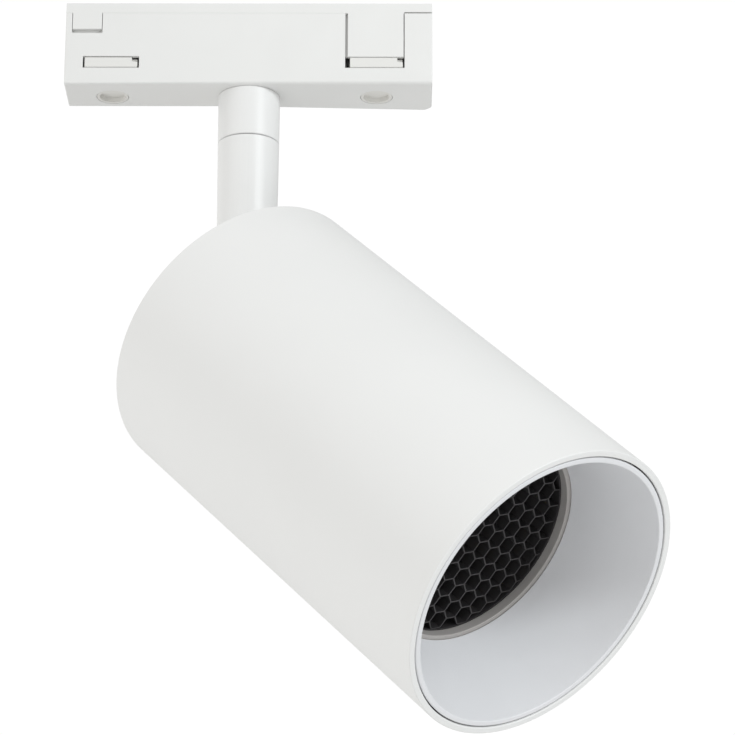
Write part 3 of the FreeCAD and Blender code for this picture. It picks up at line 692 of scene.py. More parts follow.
def polished(piece: bpy.types.Object, sharp: float = 50.0) -> bpy.types.Object:
    """Smooth the piece across its small roundings, with normals led by its large faces.

    Args:
        piece: object with a mesh.
        sharp: edges sharper than this many degrees stay sharp.

    Returns:
        The same piece.
    """
    piece.data.shade_smooth()
    piece.data.set_sharp_from_angle(angle=math.radians(sharp))
    weigh = piece.modifiers.new("normals", "WEIGHTED_NORMAL")
    weigh.keep_sharp = True
    weigh.weight = LARGE_FACES
    return baked(piece)


def from_bmesh(name: str, shape: bmesh.types.BMesh) -> bpy.types.Object:
    """Turn a bmesh into an object and free it.

    Args:
        name: name of the object.
        shape: the bmesh, which is freed.

    Returns:
        The new object.
    """
    mesh = bpy.data.meshes.new(name)
    shape.to_mesh(mesh)
    shape.free()
    return new_piece(name, mesh)


def rounded(profile: Profile, radius: float, steps: int = 4) -> Profile:
    """Round every corner of a closed outline that isn't on the axis.

    Args:
        profile: corner points as (radius, height).
        radius: corner radius, shortened where a side is short.
        steps: points along each arc.

    Returns:
        The outline with arcs.
    """
    result: Profile = []
    count = len(profile)
    for index, corner in enumerate(profile):
        here = Vector(corner)
        back = Vector(profile[index - 1]) - here
        ahead = Vector(profile[(index + 1) % count]) - here
        turn = back.angle(ahead)
        if here.x < ON_AXIS or turn > STRAIGHT:
            result.append(corner)
            continue
        reach = min(radius / math.tan(turn / 2), back.length * 0.45, ahead.length * 0.45)
        bend = reach * math.tan(turn / 2)
        middle = (back.normalized() + ahead.normalized()).normalized()
        centre = here + middle * (bend / math.sin(turn / 2))
        start = here + back.normalized() * reach - centre
        end = here + ahead.normalized() * reach - centre
        for step in range(steps + 1):
            spoke = start.lerp(end, step / steps).normalized() * bend
            result.append(tuple(centre + spoke))
    return result


RadiusRule = Callable[[float], float]


def revolve(rings: Sequence[Tuple[RadiusRule, float]], place: Matrix, segments: int) -> bmesh.types.BMesh:
    """Closed shell through rings whose radius may change with the angle.

    Args:
        rings: (radius rule, height) round a closed outline; a radius of 0 makes a pole.
        place: local frame to CAD frame.
        segments: facets round the axis.

    Returns:
        The shell, with its faces outwards.
    """
    shape = bmesh.new()
    made = []
    for rule, height in rings:
        if rule(0.0) < ON_AXIS:
            made.append([shape.verts.new(place @ Vector((0, 0, height)))] * segments)
            continue
        angles = [math.tau * step / segments for step in range(segments)]
        made.append([shape.verts.new(place @ Vector((rule(a) * math.cos(a), rule(a) * math.sin(a), height)))
                     for a in angles])
    for index, lower in enumerate(made):
        upper = made[(index + 1) % len(made)]
        for step in range(segments):
            follow = (step + 1) % segments
            corners = list(dict.fromkeys([lower[step], lower[follow], upper[follow], upper[step]]))
            if len(corners) > 2:
                shape.faces.new(corners)
    bmesh.ops.recalc_face_normals(shape, faces=shape.faces)
    return shape


def plain(radius: float) -> RadiusRule:
    """Radius that is the same all round."""
    return lambda angle: radius


def hexagonal(apothem: float) -> RadiusRule:
    """Radius of a hexagon with corners at multiples of 60 degrees."""
    return lambda angle: apothem / math.cos((angle % (math.pi / 3)) - math.pi / 6)


def turned(name: str, profile: Profile, axis: Axis, soften: float = 0.3 * MM, steps: int = 4,
           segments: int = 192) -> bpy.types.Object:
    """Closed solid of revolution with rounded corners.

    Args:
        name: name of the piece.
        profile: closed outline as (radius, height) in metres.
        axis: the axis it is turned about.
        soften: corner radius.
        steps: facets of each rounding.
        segments: facets round the axis.

    Returns:
        The new object.
    """
    rings = [(plain(radius), height) for radius, height in rounded(profile, soften, steps)]
    return polished(from_bmesh(name, revolve(rings, axis.matrix(), segments)), sharp=40.0)


WidthRule = Callable[[Vector, Vector], Optional[float]]


def softened(name: str, node: str, width: float, steps: int = 2,
             rule: Optional[WidthRule] = None) -> bpy.types.Object:
    """Copy of a CAD node with merged faces and bevelled edges.

    Args:
        name: name of the piece.
        node: the CAD node it is copied from.
        width: bevel width in metres.
        steps: bevel segments.
        rule: width of an edge from its two ends, or None where it has the usual one.

    Returns:
        The new object.
    """
    shape = bmesh.new()
    shape.from_mesh(frame["nodes"][node].data)
    bmesh.ops.remove_doubles(shape, verts=shape.verts, dist=MERGE)
    bmesh.ops.dissolve_limit(shape, angle_limit=FLAT, verts=shape.verts, edges=shape.edges)
    weight = shape.edges.layers.float.new("bevel_weight_edge")
    widths = {}
    for edge in shape.edges:
        if edge.is_manifold and edge.calc_face_angle(0.0) > CREASE:
            special = rule(edge.verts[0].co, edge.verts[1].co) if rule else None
            widths[edge] = width if special is None else special
    wide = max(widths.values())
    for edge, value in widths.items():
        edge[weight] = value / wide
    piece = from_bmesh(name, shape)
    bevel = piece.modifiers.new("edges", "BEVEL")
    bevel.limit_method = "WEIGHT"
    bevel.width = wide
    bevel.segments = steps
    bevel.use_clamp_overlap = True
    bevel.miter_outer = "MITER_ARC"
    baked(piece)
    return polished(piece)


@dataclass(frozen=True)
class Span:
    """What a turned CAD node takes up about an axis.

    Attributes:
        inner: smallest radius.
        outer: largest radius.
        low: lowest height.
        high: highest height.
        spots: (radius, height) of every vertex.
    """

    inner: float
    outer: float
    low: float
    high: float
    spots: Tuple[Tuple[float, float], ...]

    @classmethod
    def of(cls, node: str, axis: Axis) -> "Span":
        """Measure a CAD node about an axis.

        Args:
            node: the CAD node.
            axis: the axis it is turned about.

        Returns:
            Its span.
        """
        spots = tuple(axis.polar(vertex.co) for vertex in frame["nodes"][node].data.vertices)
        radii = [radius for radius, _ in spots]
        heights = [height for _, height in spots]
        return cls(min(radii), max(radii), min(heights), max(heights), spots)

    def radii_at(self, height: float) -> Tuple[float, float]:
        """Smallest and largest radius of the vertices at one height."""
        radii = [radius for radius, level in self.spots if abs(level - height) < NEAR]
        return min(radii), max(radii)

    def tube(self) -> Profile:
        """Outline of a plain ring."""
        return [(self.inner, self.low), (self.outer, self.low), (self.outer, self.high),
                (self.inner, self.high)]

    def slab(self) -> Profile:
        """Outline of a plain disc."""
        return [(0.0, self.low), (self.outer, self.low), (self.outer, self.high), (0.0, self.high)]


# ---------------------------------------------------------------- geometry nodes


SOCKETS = {"float": "NodeSocketFloat", "int": "NodeSocketInt", "vector": "NodeSocketVector",
           "object": "NodeSocketObject", "material": "NodeSocketMaterial"}
CELL_MERGE = 0.03 * MM  # corners of neighbouring cells that become one
SHELL_MERGE = 0.01 * MM  # corners of the two faces of the sheet that become one


def geometry_tree(name: str, kinds: Dict[str, str],
                  fill: Callable[[Nodes, Callable[[str], bpy.types.NodeSocket]], bpy.types.NodeSocket]
                  ) -> bpy.types.NodeTree:
    """Geometry tree that ends in Realize Instances and Set Material.

    Args:
        name: name of the tree.
        kinds: kind of each named input.
        fill: builds the inside and returns its geometry socket.

    Returns:
        The tree.
    """
    tree = bpy.data.node_groups.new(name, "GeometryNodeTree")
    tree.interface.new_socket("Geometry", in_out="OUTPUT", socket_type="NodeSocketGeometry")
    for label, kind in kinds.items():
        tree.interface.new_socket(label, in_out="INPUT", socket_type=SOCKETS[kind])
    tree.interface.new_socket("Material", in_out="INPUT", socket_type=SOCKETS["material"])
    nodes = Nodes(tree)
    entry = nodes.add("NodeGroupInput")
    body = fill(nodes, lambda label: entry.outputs[label])
    real = nodes.add("GeometryNodeRealizeInstances", {"Geometry": body})
    dressed = nodes.add("GeometryNodeSetMaterial", {"Geometry": real.outputs[0],
                                                    "Material": entry.outputs["Material"]})
    nodes.add("NodeGroupOutput", {"Geometry": dressed.outputs[0]})
    return tree


def grown(name: str, tree: bpy.types.NodeTree, values: Dict[str, object]) -> bpy.types.Object:
    """Object whose mesh a geometry tree makes, baked to a plain mesh.

    Args:
        name: name of the piece.
        tree: the geometry tree.
        values: value of each named input.

    Returns:
        The new object, without modifiers.
    """
    piece = new_piece(name, bpy.data.meshes.new(name))
    modifier = piece.modifiers.new("grow", "NODES")
    modifier.node_group = tree
    for item in tree.interface.items_tree:
        if item.in_out == "INPUT" and item.name in values:
            modifier[item.identifier] = values[item.name]
    baked(piece)
    piece.data.materials.clear()
    piece.data.polygons.foreach_set("material_index", [0] * len(piece.data.polygons))
    piece.data.materials.append(values["Material"])
    return piece


def join_meshes(name: str, pieces: Sequence[bpy.types.Object]) -> bpy.types.Object:
    """One object from several, which are removed.

    Args:
        name: name of the new object.
        pieces: the objects, which are removed.

    Returns:
        The new object, with the first one's materials.
    """
    shape = bmesh.new()
    for piece in pieces:
        shape.from_mesh(piece.data)
    materials = list(pieces[0].data.materials)
    for piece in pieces:
        bpy.data.objects.remove(piece)
    result = from_bmesh(name, shape)
    for material in materials:
        result.data.materials.append(material)
    return result


def ring_tree() -> bpy.types.NodeTree:
    """Copies of one part, evenly round a circle and turned with it.

    Returns:
        The geometry tree.
    """

    def fill(nodes: Nodes, read: Callable[[str], bpy.types.NodeSocket]) -> bpy.types.NodeSocket:
        """Inside of the tree.

        Args:
            nodes: the tree's nodes.
            read: gives the socket of a named input.

        Returns:
            The geometry socket.
        """
        index = nodes.add("GeometryNodeInputIndex").outputs[0]
        step = nodes.math("DIVIDE", math.tau, read("Count"))
        angle = nodes.math("ADD", nodes.math("MULTIPLY", index, step), read("Start"))
        spin = nodes.add("ShaderNodeCombineXYZ", {"Z": angle}).outputs[0]
        out = nodes.add("ShaderNodeCombineXYZ", {"X": read("Radius")}).outputs[0]
        spot = nodes.add("ShaderNodeVectorRotate", {"Vector": out, "Angle": angle}, rotation_type="Z_AXIS")
        points = nodes.add("GeometryNodePoints", {"Count": read("Count"), "Position": spot.outputs[0]})
        part = nodes.add("GeometryNodeObjectInfo", {"Object": read("Part")}, transform_space="ORIGINAL")
        copies = nodes.add("GeometryNodeInstanceOnPoints", {"Points": points.outputs[0],
                                                            "Instance": part.outputs["Geometry"],
                                                            "Rotation": spin})
        placed = nodes.add("GeometryNodeTransform", {"Geometry": copies.outputs[0],
                                                     "Translation": read("Place"), "Rotation": read("Turn")})
        return placed.outputs[0]

    return geometry_tree("ring_of_parts", {"Part": "object", "Count": "int", "Radius": "float",
                                           "Start": "float", "Place": "vector", "Turn": "vector"}, fill)


def honeycomb_tree() -> bpy.types.NodeTree:
    """Hexagonal cells in offset rows, held inside a round rim.

    Returns:
        The geometry tree.
    """

    def fill(nodes: Nodes, read: Callable[[str], bpy.types.NodeSocket]) -> bpy.types.NodeSocket:
        """Inside of the tree.

        Args:
            nodes: the tree's nodes.
            read: gives the socket of a named input.

        Returns:
            The geometry socket.
        """
        rows, pitch, rim = read("Rows"), read("Pitch"), read("Rim")
        index = nodes.add("GeometryNodeInputIndex").outputs[0]
        row = nodes.math("FLOOR", nodes.math("DIVIDE", nodes.math("ADD", index, 0.5), rows))
        column = nodes.math("SUBTRACT", index, nodes.math("MULTIPLY", row, rows))
        half = nodes.math("FLOOR", nodes.math("DIVIDE", rows, 2.0))
        parity = nodes.math("FLOORED_MODULO", nodes.math("SUBTRACT", row, half), 2.0)
        odd = nodes.math("MULTIPLY", parity, 0.5)
        across = nodes.math("MULTIPLY", nodes.math("ADD", nodes.math("SUBTRACT", column, half), odd), pitch)
        along = nodes.math("MULTIPLY", nodes.math("MULTIPLY", nodes.math("SUBTRACT", row, half), pitch),
                           math.sqrt(3) / 2)
        flat = nodes.add("ShaderNodeCombineXYZ", {"X": across, "Y": along}).outputs[0]
        moved = nodes.add("ShaderNodeVectorMath", {0: flat, 1: read("Shift")}, operation="ADD").outputs[0]
        spun = nodes.add("ShaderNodeVectorRotate", {"Vector": moved, "Angle": read("Turn")},
                         rotation_type="Z_AXIS").outputs[0]
        count = nodes.math("MULTIPLY", rows, rows)
        points = nodes.add("GeometryNodePoints", {"Count": count, "Position": spun}).outputs[0]
        reach = nodes.math("MULTIPLY", pitch, 1 / math.sqrt(3))
        cell = nodes.add("GeometryNodeObjectInfo", {"Object": read("Cell")}, transform_space="ORIGINAL")
        spin = nodes.add("ShaderNodeCombineXYZ", {"Z": read("Turn")}).outputs[0]
        copies = nodes.add("GeometryNodeInstanceOnPoints", {
            "Points": points, "Instance": cell.outputs["Geometry"], "Rotation": spin}).outputs[0]
        sheet = nodes.add("GeometryNodeRealizeInstances", {"Geometry": copies}).outputs[0]
        merged = nodes.add("GeometryNodeMergeByDistance", {"Geometry": sheet,
                                                           "Distance": CELL_MERGE}).outputs[0]
        position = nodes.add("GeometryNodeInputPosition").outputs[0]
        radius = nodes.add("ShaderNodeVectorMath", {0: position}, operation="LENGTH").outputs["Value"]
        outside = nodes.math("GREATER_THAN", radius, rim)
        on_face = nodes.add("GeometryNodeFieldOnDomain", {"Value": outside}, data_type="FLOAT",
                            domain="FACE").outputs[0]
        whole = nodes.math("GREATER_THAN", on_face, 0.99)
        kept = nodes.add("GeometryNodeDeleteGeometry", {"Geometry": merged, "Selection": whole},
                         domain="FACE").outputs[0]
        share = nodes.math("MINIMUM", nodes.math("DIVIDE", rim, nodes.math("MAXIMUM", radius, reach)), 1.0)
        pulled = nodes.add("ShaderNodeVectorMath", {0: position, "Scale": share},
                           operation="SCALE").outputs[0]
        clipped = nodes.add("GeometryNodeSetPosition", {"Geometry": kept, "Position": pulled}).outputs[0]
        drop = nodes.add("ShaderNodeCombineXYZ", {"Z": read("Thickness")}).outputs[0]
        raised = nodes.add("GeometryNodeExtrudeMesh", {"Mesh": clipped, "Offset": drop, "Offset Scale": 1.0,
                                                       "Individual": False}).outputs["Mesh"]
        under = nodes.add("GeometryNodeFlipFaces", {"Mesh": clipped}).outputs[0]
        both = nodes.add("GeometryNodeJoinGeometry")
        nodes.join(raised, both.inputs[0])
        nodes.join(under, both.inputs[0])
        closed = nodes.add("GeometryNodeMergeByDistance", {"Geometry": both.outputs[0],
                                                           "Distance": SHELL_MERGE}).outputs[0]
        return nodes.add("GeometryNodeTransform", {"Geometry": closed, "Translation": read("Place"),
                                                   "Rotation": read("Lean")}).outputs[0]

    return geometry_tree("honeycomb", {"Cell": "object", "Rows": "int", "Pitch": "float", "Rim": "float",
                                       "Shift": "vector", "Turn": "float", "Thickness": "float",
                                       "Place": "vector", "Lean": "vector"}, fill)


# ---------------------------------------------------------------- screws


@dataclass(frozen=True)
class Screw:
    """Socket screw whose head points down its own Z.

    Attributes:
        head: head radius.
        tall: head height.
        socket: width across the socket's flats.
        shank: thread radius.
        long: shank length.
        pitch: thread pitch.
    """

    head: float
    tall: float
    socket: float
    shank: float
    long: float
    pitch: float

    def master(self) -> bpy.types.Object:
        """One screw, with its head's underside at height 0 and its shank upwards.

        Returns:
            The new object.
        """
        root = self.shank - 0.3 * self.pitch
        flat = self.socket / 2
        pit = -0.35 * self.tall
        break_edge = 0.03 * MM
        rings = [(plain(0.0), pit), (hexagonal(flat * 0.98), pit),
                 (hexagonal(flat), -self.tall + 2 * break_edge), (hexagonal(flat * 1.08), -self.tall)]
        steps = 4
        crown = rounded([(self.head * 0.5, -self.tall), (self.head, -self.tall), (self.head, 0.0),
                         (self.shank, 0.0)], 0.35 * self.tall, steps)
        rings += [(plain(radius), height) for radius, height in crown[steps + 1:-steps - 1]]
        rings += [(plain(self.head), -break_edge), (plain(self.head - break_edge), 0.0),
                  (plain(self.shank), 0.0)]
        turns = int(self.long / self.pitch) - 1
        for turn in range(turns):
            base = (turn + 0.5) * self.pitch
            rings += [(plain(root), base), (plain(self.shank), base + 0.4 * self.pitch),
                      (plain(self.shank), base + 0.55 * self.pitch)]
        rings += [(plain(root), self.long - 0.2 * MM), (plain(root - 0.2 * MM), self.long),
                  (plain(0.0), self.long)]
        return polished(from_bmesh("screw_master", revolve(rings, Matrix.Identity(4), 48)))


class Workshop:
    """Shared trees and the wardrobe, for making and dressing repeated parts."""

    def __init__(self) -> None:
        """Build the trees once."""
        self.wardrobe = Wardrobe()
        self.ring = ring_tree()
        self.honeycomb = honeycomb_tree()

    def ring_of(self, name: str, part: bpy.types.Object, count: int, radius: float, start: float,
                place: Matrix, node: str) -> bpy.types.Object:
        """Copies of a part round a circle, as one baked piece; the part itself is removed.

        Args:
            name: name of the piece.
            part: the part to copy.
            count: number of copies.
            radius: radius of the circle.
            start: angle of the first copy.
            place: the circle's frame in the CAD frame.
            node: CAD node whose slot gives the finish.

        Returns:
            The new object.
        """
        material = self.wardrobe.material(self.wardrobe.slots[node])
        values = {"Part": part, "Count": count, "Radius": radius, "Start": start,
                  "Place": place.translation, "Turn": Vector(place.to_euler()), "Material": material}
        piece = grown(name, self.ring, values)
        bpy.data.objects.remove(part)
        return piece

    def copy(self, node: str, width: float, body: Body, steps: int = 2,
             rule: Optional[WidthRule] = None) -> bpy.types.Object:
        """Softened and dressed copy of a CAD node.

        Args:
            node: the CAD node.
            width: usual bevel width.
            body: the body it moves with.
            steps: bevel steps.
            rule: width of the edges that have another one.

        Returns:
            The new object.
        """
        piece = softened(node + "_finished", node, width, steps, rule)
        return self.wardrobe.dress(piece, body, node)

    def copy_each(self, edges: Edges, body: Body) -> None:
        """Copy several CAD nodes, each with its own bevel width.

        Args:
            edges: the nodes and their bevel widths.
            body: the body they move with.
        """
        for node, width in edges:
            self.copy(node, width, body)


# ---------------------------------------------------------------- adapter


@dataclass
class Adapter:
    """Housing, contact carrier, locks and the inner parts of the track adapter.

    Attributes:
        lower_edge: rounding of the housing's lower front edge.
        other_edge: rounding of its other outer edges.
        rear_corner: rounding of the cut corner at the right end.
        window_edge: rounding of windows and seams.
        hole_edge: rounding of the key holes.
        hole_depth: the key holes' rims lie within this of the middle plane.
        hole_inset: the key holes lie further than this from the stem's axis.
        hole_margin: they end at least this far from the right end.
        rear_depth: depth of the zone along the back.
        upright: edges taller than this are the box's upright ones.
        carrier_edge: rounding of the contact carrier.
        key_edge: rounding of the lock keys.
        key_ease: share by which a key is drawn in.
        tongue_edge: rounding of the lock tongues.
        screw_head: height of a housing screw's head.
        collar_step: height of the wider part of the collar's bore.
        edges: rounding of each further CAD node.
    """

    shop: Workshop
    lower_edge: float = 1.2 * MM
    other_edge: float = 0.35 * MM
    rear_corner: float = 0.7 * MM
    window_edge: float = 0.1 * MM
    hole_edge: float = 0.02 * MM
    hole_depth: float = 5 * MM
    hole_inset: float = 12 * MM
    hole_margin: float = 4 * MM
    rear_depth: float = 4 * MM
    upright: float = 15 * MM
    carrier_edge: float = 0.15 * MM
    key_edge: float = 0.05 * MM
    key_ease: float = 0.015
    tongue_edge: float = 0.25 * MM
    screw_head: float = 1.2 * MM
    collar_step: float = 1.7 * MM
    edges: Edges = (
        ("contact_blade_front", 0.08 * MM), ("contact_blade_rear", 0.08 * MM), ("driver_board", 0.08 * MM),
        ("driver_parts", 0.15 * MM), ("hollow_nipple", 0.12 * MM), ("nipple_washer", 0.12 * MM),
        ("nipple_nut", 0.3 * MM), ("pan_washer", 0.12 * MM), ("pan_nut", 0.2 * MM),
        ("pan_stop_pin", 0.12 * MM))

    def housing_rule(self, low: Vector, high: Vector) -> WidthRule:
        """Edge widths of the housing, from its own box.

        Args:
            low: lowest corner of the housing.
            high: highest corner.

        Returns:
            A rule for softened().
        """

        def rule(first: Vector, second: Vector) -> Optional[float]:
            """Width of one edge.

            Args:
                first: one end of the edge.
                second: the other end.

            Returns:
                The edge's width.
            """
            both = (first, second)
            floor = all(abs(end.z - low.z) < NEAR for end in both)
            front = all(abs(end.y - low.y) < NEAR for end in both)
            rear = all(end.y > high.y - self.rear_depth for end in both)
            ends = all(min(abs(end.x - low.x), abs(end.x - high.x)) < NEAR for end in both)
            upright = abs(first.z - second.z) > self.upright
            key_hole = all(abs(end.y) < self.hole_depth
                           and self.hole_inset < abs(end.x) < high.x - self.hole_margin for end in both)
            if floor and key_hole:
                return self.hole_edge
            if floor and front:
                return self.lower_edge
            if floor and (ends or rear):
                return self.other_edge
            if upright and rear and first.x > 0.9 * high.x:
                return self.rear_corner
            if upright and (ends or rear):
                return self.other_edge
            return self.window_edge

        return rule

    def build(self) -> None:
        """Make every piece of the adapter."""
        shop = self.shop
        low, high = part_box("adapter_housing")
        shop.copy("adapter_housing", self.window_edge, Body.ADAPTER, CLOSE_UP,
                  self.housing_rule(low, high))
        shop.copy("contact_carrier", self.carrier_edge, Body.ADAPTER)
        for side, key, tongue in (("left", Body.KEY_LEFT, Body.TONGUE_LEFT),
                                  ("right", Body.KEY_RIGHT, Body.TONGUE_RIGHT)):
            self.ease(shop.copy("lock_key_" + side, self.key_edge, key), "lock_key_" + side)
            shop.copy("lock_tongue_" + side, self.tongue_edge, tongue)
        shop.copy_each(self.edges, Body.ADAPTER)
        self.build_screws()
        self.build_collar()
        shop.wardrobe.dress_node("feed_wires")

    def ease(self, piece: bpy.types.Object, node: str) -> None:
        """Draw a key in a hair towards its own axis, so that it turns freely in its hole.

        Args:
            piece: the key.
            node: its CAD node.
        """
        low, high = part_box(node)
        middle = (low + high) / 2
        for vertex in piece.data.vertices:
            vertex.co.x += (middle.x - vertex.co.x) * self.key_ease
            vertex.co.y += (middle.y - vertex.co.y) * self.key_ease

    def build_screws(self) -> None:
        """The two screws that hold the contact carrier."""
        low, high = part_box("housing_screws")
        head = (high.y - low.y) / 2
        middle = Vector(((low.x + high.x) / 2, (low.y + high.y) / 2, high.z - self.screw_head))
        screw = Screw(head, self.screw_head, socket=2 * MM, shank=1.0 * MM, long=middle.z - low.z,
                      pitch=0.7 * MM)
        place = Matrix.Translation(middle) @ Matrix.Rotation(math.pi, 4, "X")
        piece = self.shop.ring_of("housing_screw_pair", screw.master(), 2, (high.x - low.x) / 2 - head, 0.0,
                                  place, "housing_screws")
        self.shop.wardrobe.dress(piece, Body.ADAPTER, "housing_screws")

    def build_collar(self) -> None:
        """The fixed upper part of the stem."""
        span = Span.of("stem_collar", PAN)
        step = span.low + self.collar_step
        bore = span.inner
        top = span.radii_at(span.high)[1]
        foot_inner, foot = span.radii_at(span.low)
        profile = [(bore, step), (foot_inner, step), (foot_inner, span.low), (foot, span.low),
                   (top, span.high), (bore, span.high)]
        piece = turned("stem_collar_turned", profile, PAN, soften=0.35 * MM, segments=128)
        self.shop.wardrobe.dress(piece, Body.ADAPTER, "stem_collar")


# ---------------------------------------------------------------- stem


@dataclass
class Arm:
    """Swivel arm with its knuckle.

    Attributes:
        seam_edge: rounding of the arm's two rims.
        hole_edge: rounding of its other edges.
        rim_radius: the rims lie outside this radius.
        edges: rounding of each further CAD node.
    """

    shop: Workshop
    seam_edge: float = 0.35 * MM
    hole_edge: float = 0.12 * MM
    rim_radius: float = 7.8 * MM
    edges: Edges = (("hinge_knuckle", 0.35 * MM), ("knuckle_screw", 0.15 * MM))

    def build(self) -> None:
        """Make every piece of the arm."""
        low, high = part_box("swivel_arm")

        def rule(first: Vector, second: Vector) -> Optional[float]:
            """Rounder at the arm's two rims.

            Args:
                first: one end of the edge.
                second: the other end.

            Returns:
                The edge's width, or None for the usual one.
            """
            both = (first, second)
            wide = all(math.hypot(end.x, end.y) > self.rim_radius for end in both)
            at_rim = all(min(abs(end.z - low.z), abs(end.z - high.z)) < NEAR for end in both)
            return self.seam_edge if wide and at_rim else None

        self.shop.copy("swivel_arm", self.hole_edge, Body.ARM, CLOSE_UP, rule)
        self.shop.copy_each(self.edges, Body.ARM)
        self.shop.wardrobe.dress_node("arm_wires")


# ---------------------------------------------------------------- head


@dataclass
class Head:
    """Barrel, rear cap, light engine and the front with its louvre.

    Attributes:
        rim_edge: rounding of the barrel's rims.
        lip_edge: rounding of the snoot's lip.
        lip_depth: thickness of the snoot's lip.
        skirt_depth: length of the skirt behind the lip.
        skirt_wall: wall of the skirt.
        cap_head: height of a cap screw's head.
        led_head: height of a screw's head on the light source.
        dam_width: width of the emitter's white dam.
        dam_height: height of the dam over the phosphor.
        bowl_wall: wall of the reflector.
        bed_height: height of the lens's bed in the optic ring.
        bed_wall: wall of the optic ring round the bed.
        cell_pitch: distance between two louvre cells.
        cell_wall: wall between two cells.
        cell_turn: turn of the rows in the rim.
        cell_shift: where the rows start.
        rows: rows and columns of cells before the rim cuts them.
        grommet_edge: rounding of the grommet.
        clip_edge: rounding of the snoot's clips.
        rear_edges: rounding of each CAD node of the rear.
        light_edges: rounding of each CAD node of the light source.
    """

    shop: Workshop
    rim_edge: float = 0.3 * MM
    lip_edge: float = 0.35 * MM
    lip_depth: float = 2.4 * MM
    skirt_depth: float = 9 * MM
    skirt_wall: float = 1.2 * MM
    cap_head: float = 1.8 * MM
    led_head: float = 1.2 * MM
    dam_width: float = 0.9 * MM
    dam_height: float = 0.25 * MM
    bowl_wall: float = 0.9 * MM
    bed_height: float = 1.8 * MM
    bed_wall: float = 1.85 * MM
    cell_pitch: float = 4.8 * MM
    cell_wall: float = 0.32 * MM
    cell_turn: float = math.radians(-6)
    cell_shift: Tuple[float, float] = (-0.54 * MM, 1.97 * MM)
    rows: int = 17
    grommet_edge: float = 0.3 * MM
    clip_edge: float = 0.2 * MM
    rear_edges: Edges = (("rear_cap", 0.25 * MM), ("hinge_pin", 0.3 * MM), ("hinge_nut", 0.3 * MM),
                         ("friction_washers", 0.06 * MM))
    light_edges: Edges = (("heat_sink", 0.2 * MM), ("led_board", 0.12 * MM), ("led_holder", 0.25 * MM))

    def dress(self, piece: bpy.types.Object, *nodes: str) -> None:
        """Dress a piece of the head.

        Args:
            piece: the piece.
            nodes: CAD nodes that it replaces.
        """
        self.shop.wardrobe.dress(piece, Body.HEAD, *nodes)

    def build(self) -> None:
        """Make every piece of the head."""
        self.build_barrel()
        self.build_screws()
        self.build_light()
        self.build_optics()
        self.build_louvre()
        self.build_snoot()
        self.shop.wardrobe.dress_node("head_wires")

    def build_barrel(self) -> None:
        """Barrel tube, rear cap and hinge hardware."""
        tube = Span.of("barrel_shell", HEAD).tube()
        self.dress(turned("barrel_tube", tube, HEAD, soften=self.rim_edge, segments=256), "barrel_shell")
        self.shop.copy_each(self.rear_edges, Body.HEAD)
        self.shop.copy("cable_grommet", self.grommet_edge, Body.HEAD, CLOSE_UP)
        self.shop.copy("snoot_clips", self.clip_edge, Body.HEAD)

    def build_screws(self) -> None:
        """Cap screws and the light source's screws."""
        cap = Span.of("cap_screws", HEAD)
        head = (cap.outer - cap.inner) / 2
        place = HEAD.matrix() @ Matrix.Translation((0, 0, cap.low + self.cap_head))
        screw = Screw(head, self.cap_head, socket=2.5 * MM, shank=1.5 * MM,
                      long=cap.high - cap.low - self.cap_head, pitch=0.5 * MM)
        piece = self.shop.ring_of("cap_screw_set", screw.master(), 3, cap.inner + head, math.radians(90),
                                  place, "cap_screws")
        self.dress(piece, "cap_screws")
        led = Span.of("led_screws", HEAD)
        head = (led.outer - led.inner) / 2
        down = Matrix.Rotation(math.pi, 4, "X")
        place = HEAD.matrix() @ Matrix.Translation((0, 0, led.high - self.led_head)) @ down
        screw = Screw(head, self.led_head, socket=1.3 * MM, shank=1.0 * MM,
                      long=led.high - led.low - self.led_head, pitch=0.4 * MM)
        piece = self.shop.ring_of("led_screw_pair", screw.master(), 2, led.inner + head, 0.0, place,
                                  "led_screws")
        self.dress(piece, "led_screws")

    def build_light(self) -> None:
        """Heat sink, board, holder and emitter."""
        self.shop.copy_each(self.light_edges, Body.HEAD)
        chip = Span.of("led_emitter", HEAD)
        dam = chip.outer - self.dam_width
        dip = chip.high - self.dam_height
        profile = [(0.0, chip.low), (chip.outer, chip.low), (chip.outer, chip.high), (dam, chip.high),
                   (dam, dip), (0.0, dip)]
        self.dress(turned("emitter_disc", profile, HEAD, soften=0.2 * MM, segments=96), "led_emitter")

    def build_optics(self) -> None:
        """Reflector bowl, its ring, the cover glass and the gasket."""
        bowl = Span.of("reflector", HEAD)
        mouth = bowl.radii_at(bowl.high)[0]
        steps = 20
        inner = [(bowl.inner + (mouth - bowl.inner) * math.sqrt(step / steps),
                  bowl.low + (bowl.high - bowl.low) * step / steps) for step in range(steps + 1)]
        outer = [(radius + self.bowl_wall, height) for radius, height in reversed(inner)]
        self.dress(turned("reflector_bowl", inner + outer, HEAD, soften=0.2 * MM, steps=3, segments=160),
                   "reflector")
        ring = Span.of("optic_ring", HEAD)
        bed = ring.low + self.bed_height
        step = ring.outer - self.bed_wall
        profile = [(ring.inner, ring.low), (ring.outer, ring.low), (ring.outer, ring.high),
                   (step, ring.high), (step, bed), (ring.inner, bed)]
        self.dress(turned("optic_ring_turned", profile, HEAD), "optic_ring")
        self.dress(turned("cover_glass", Span.of("lens", HEAD).slab(), HEAD, soften=0.4 * MM), "lens")
        gasket = Span.of("lens_gasket", HEAD).tube()
        self.dress(turned("glass_gasket", gasket, HEAD, soften=0.5 * MM), "lens_gasket")

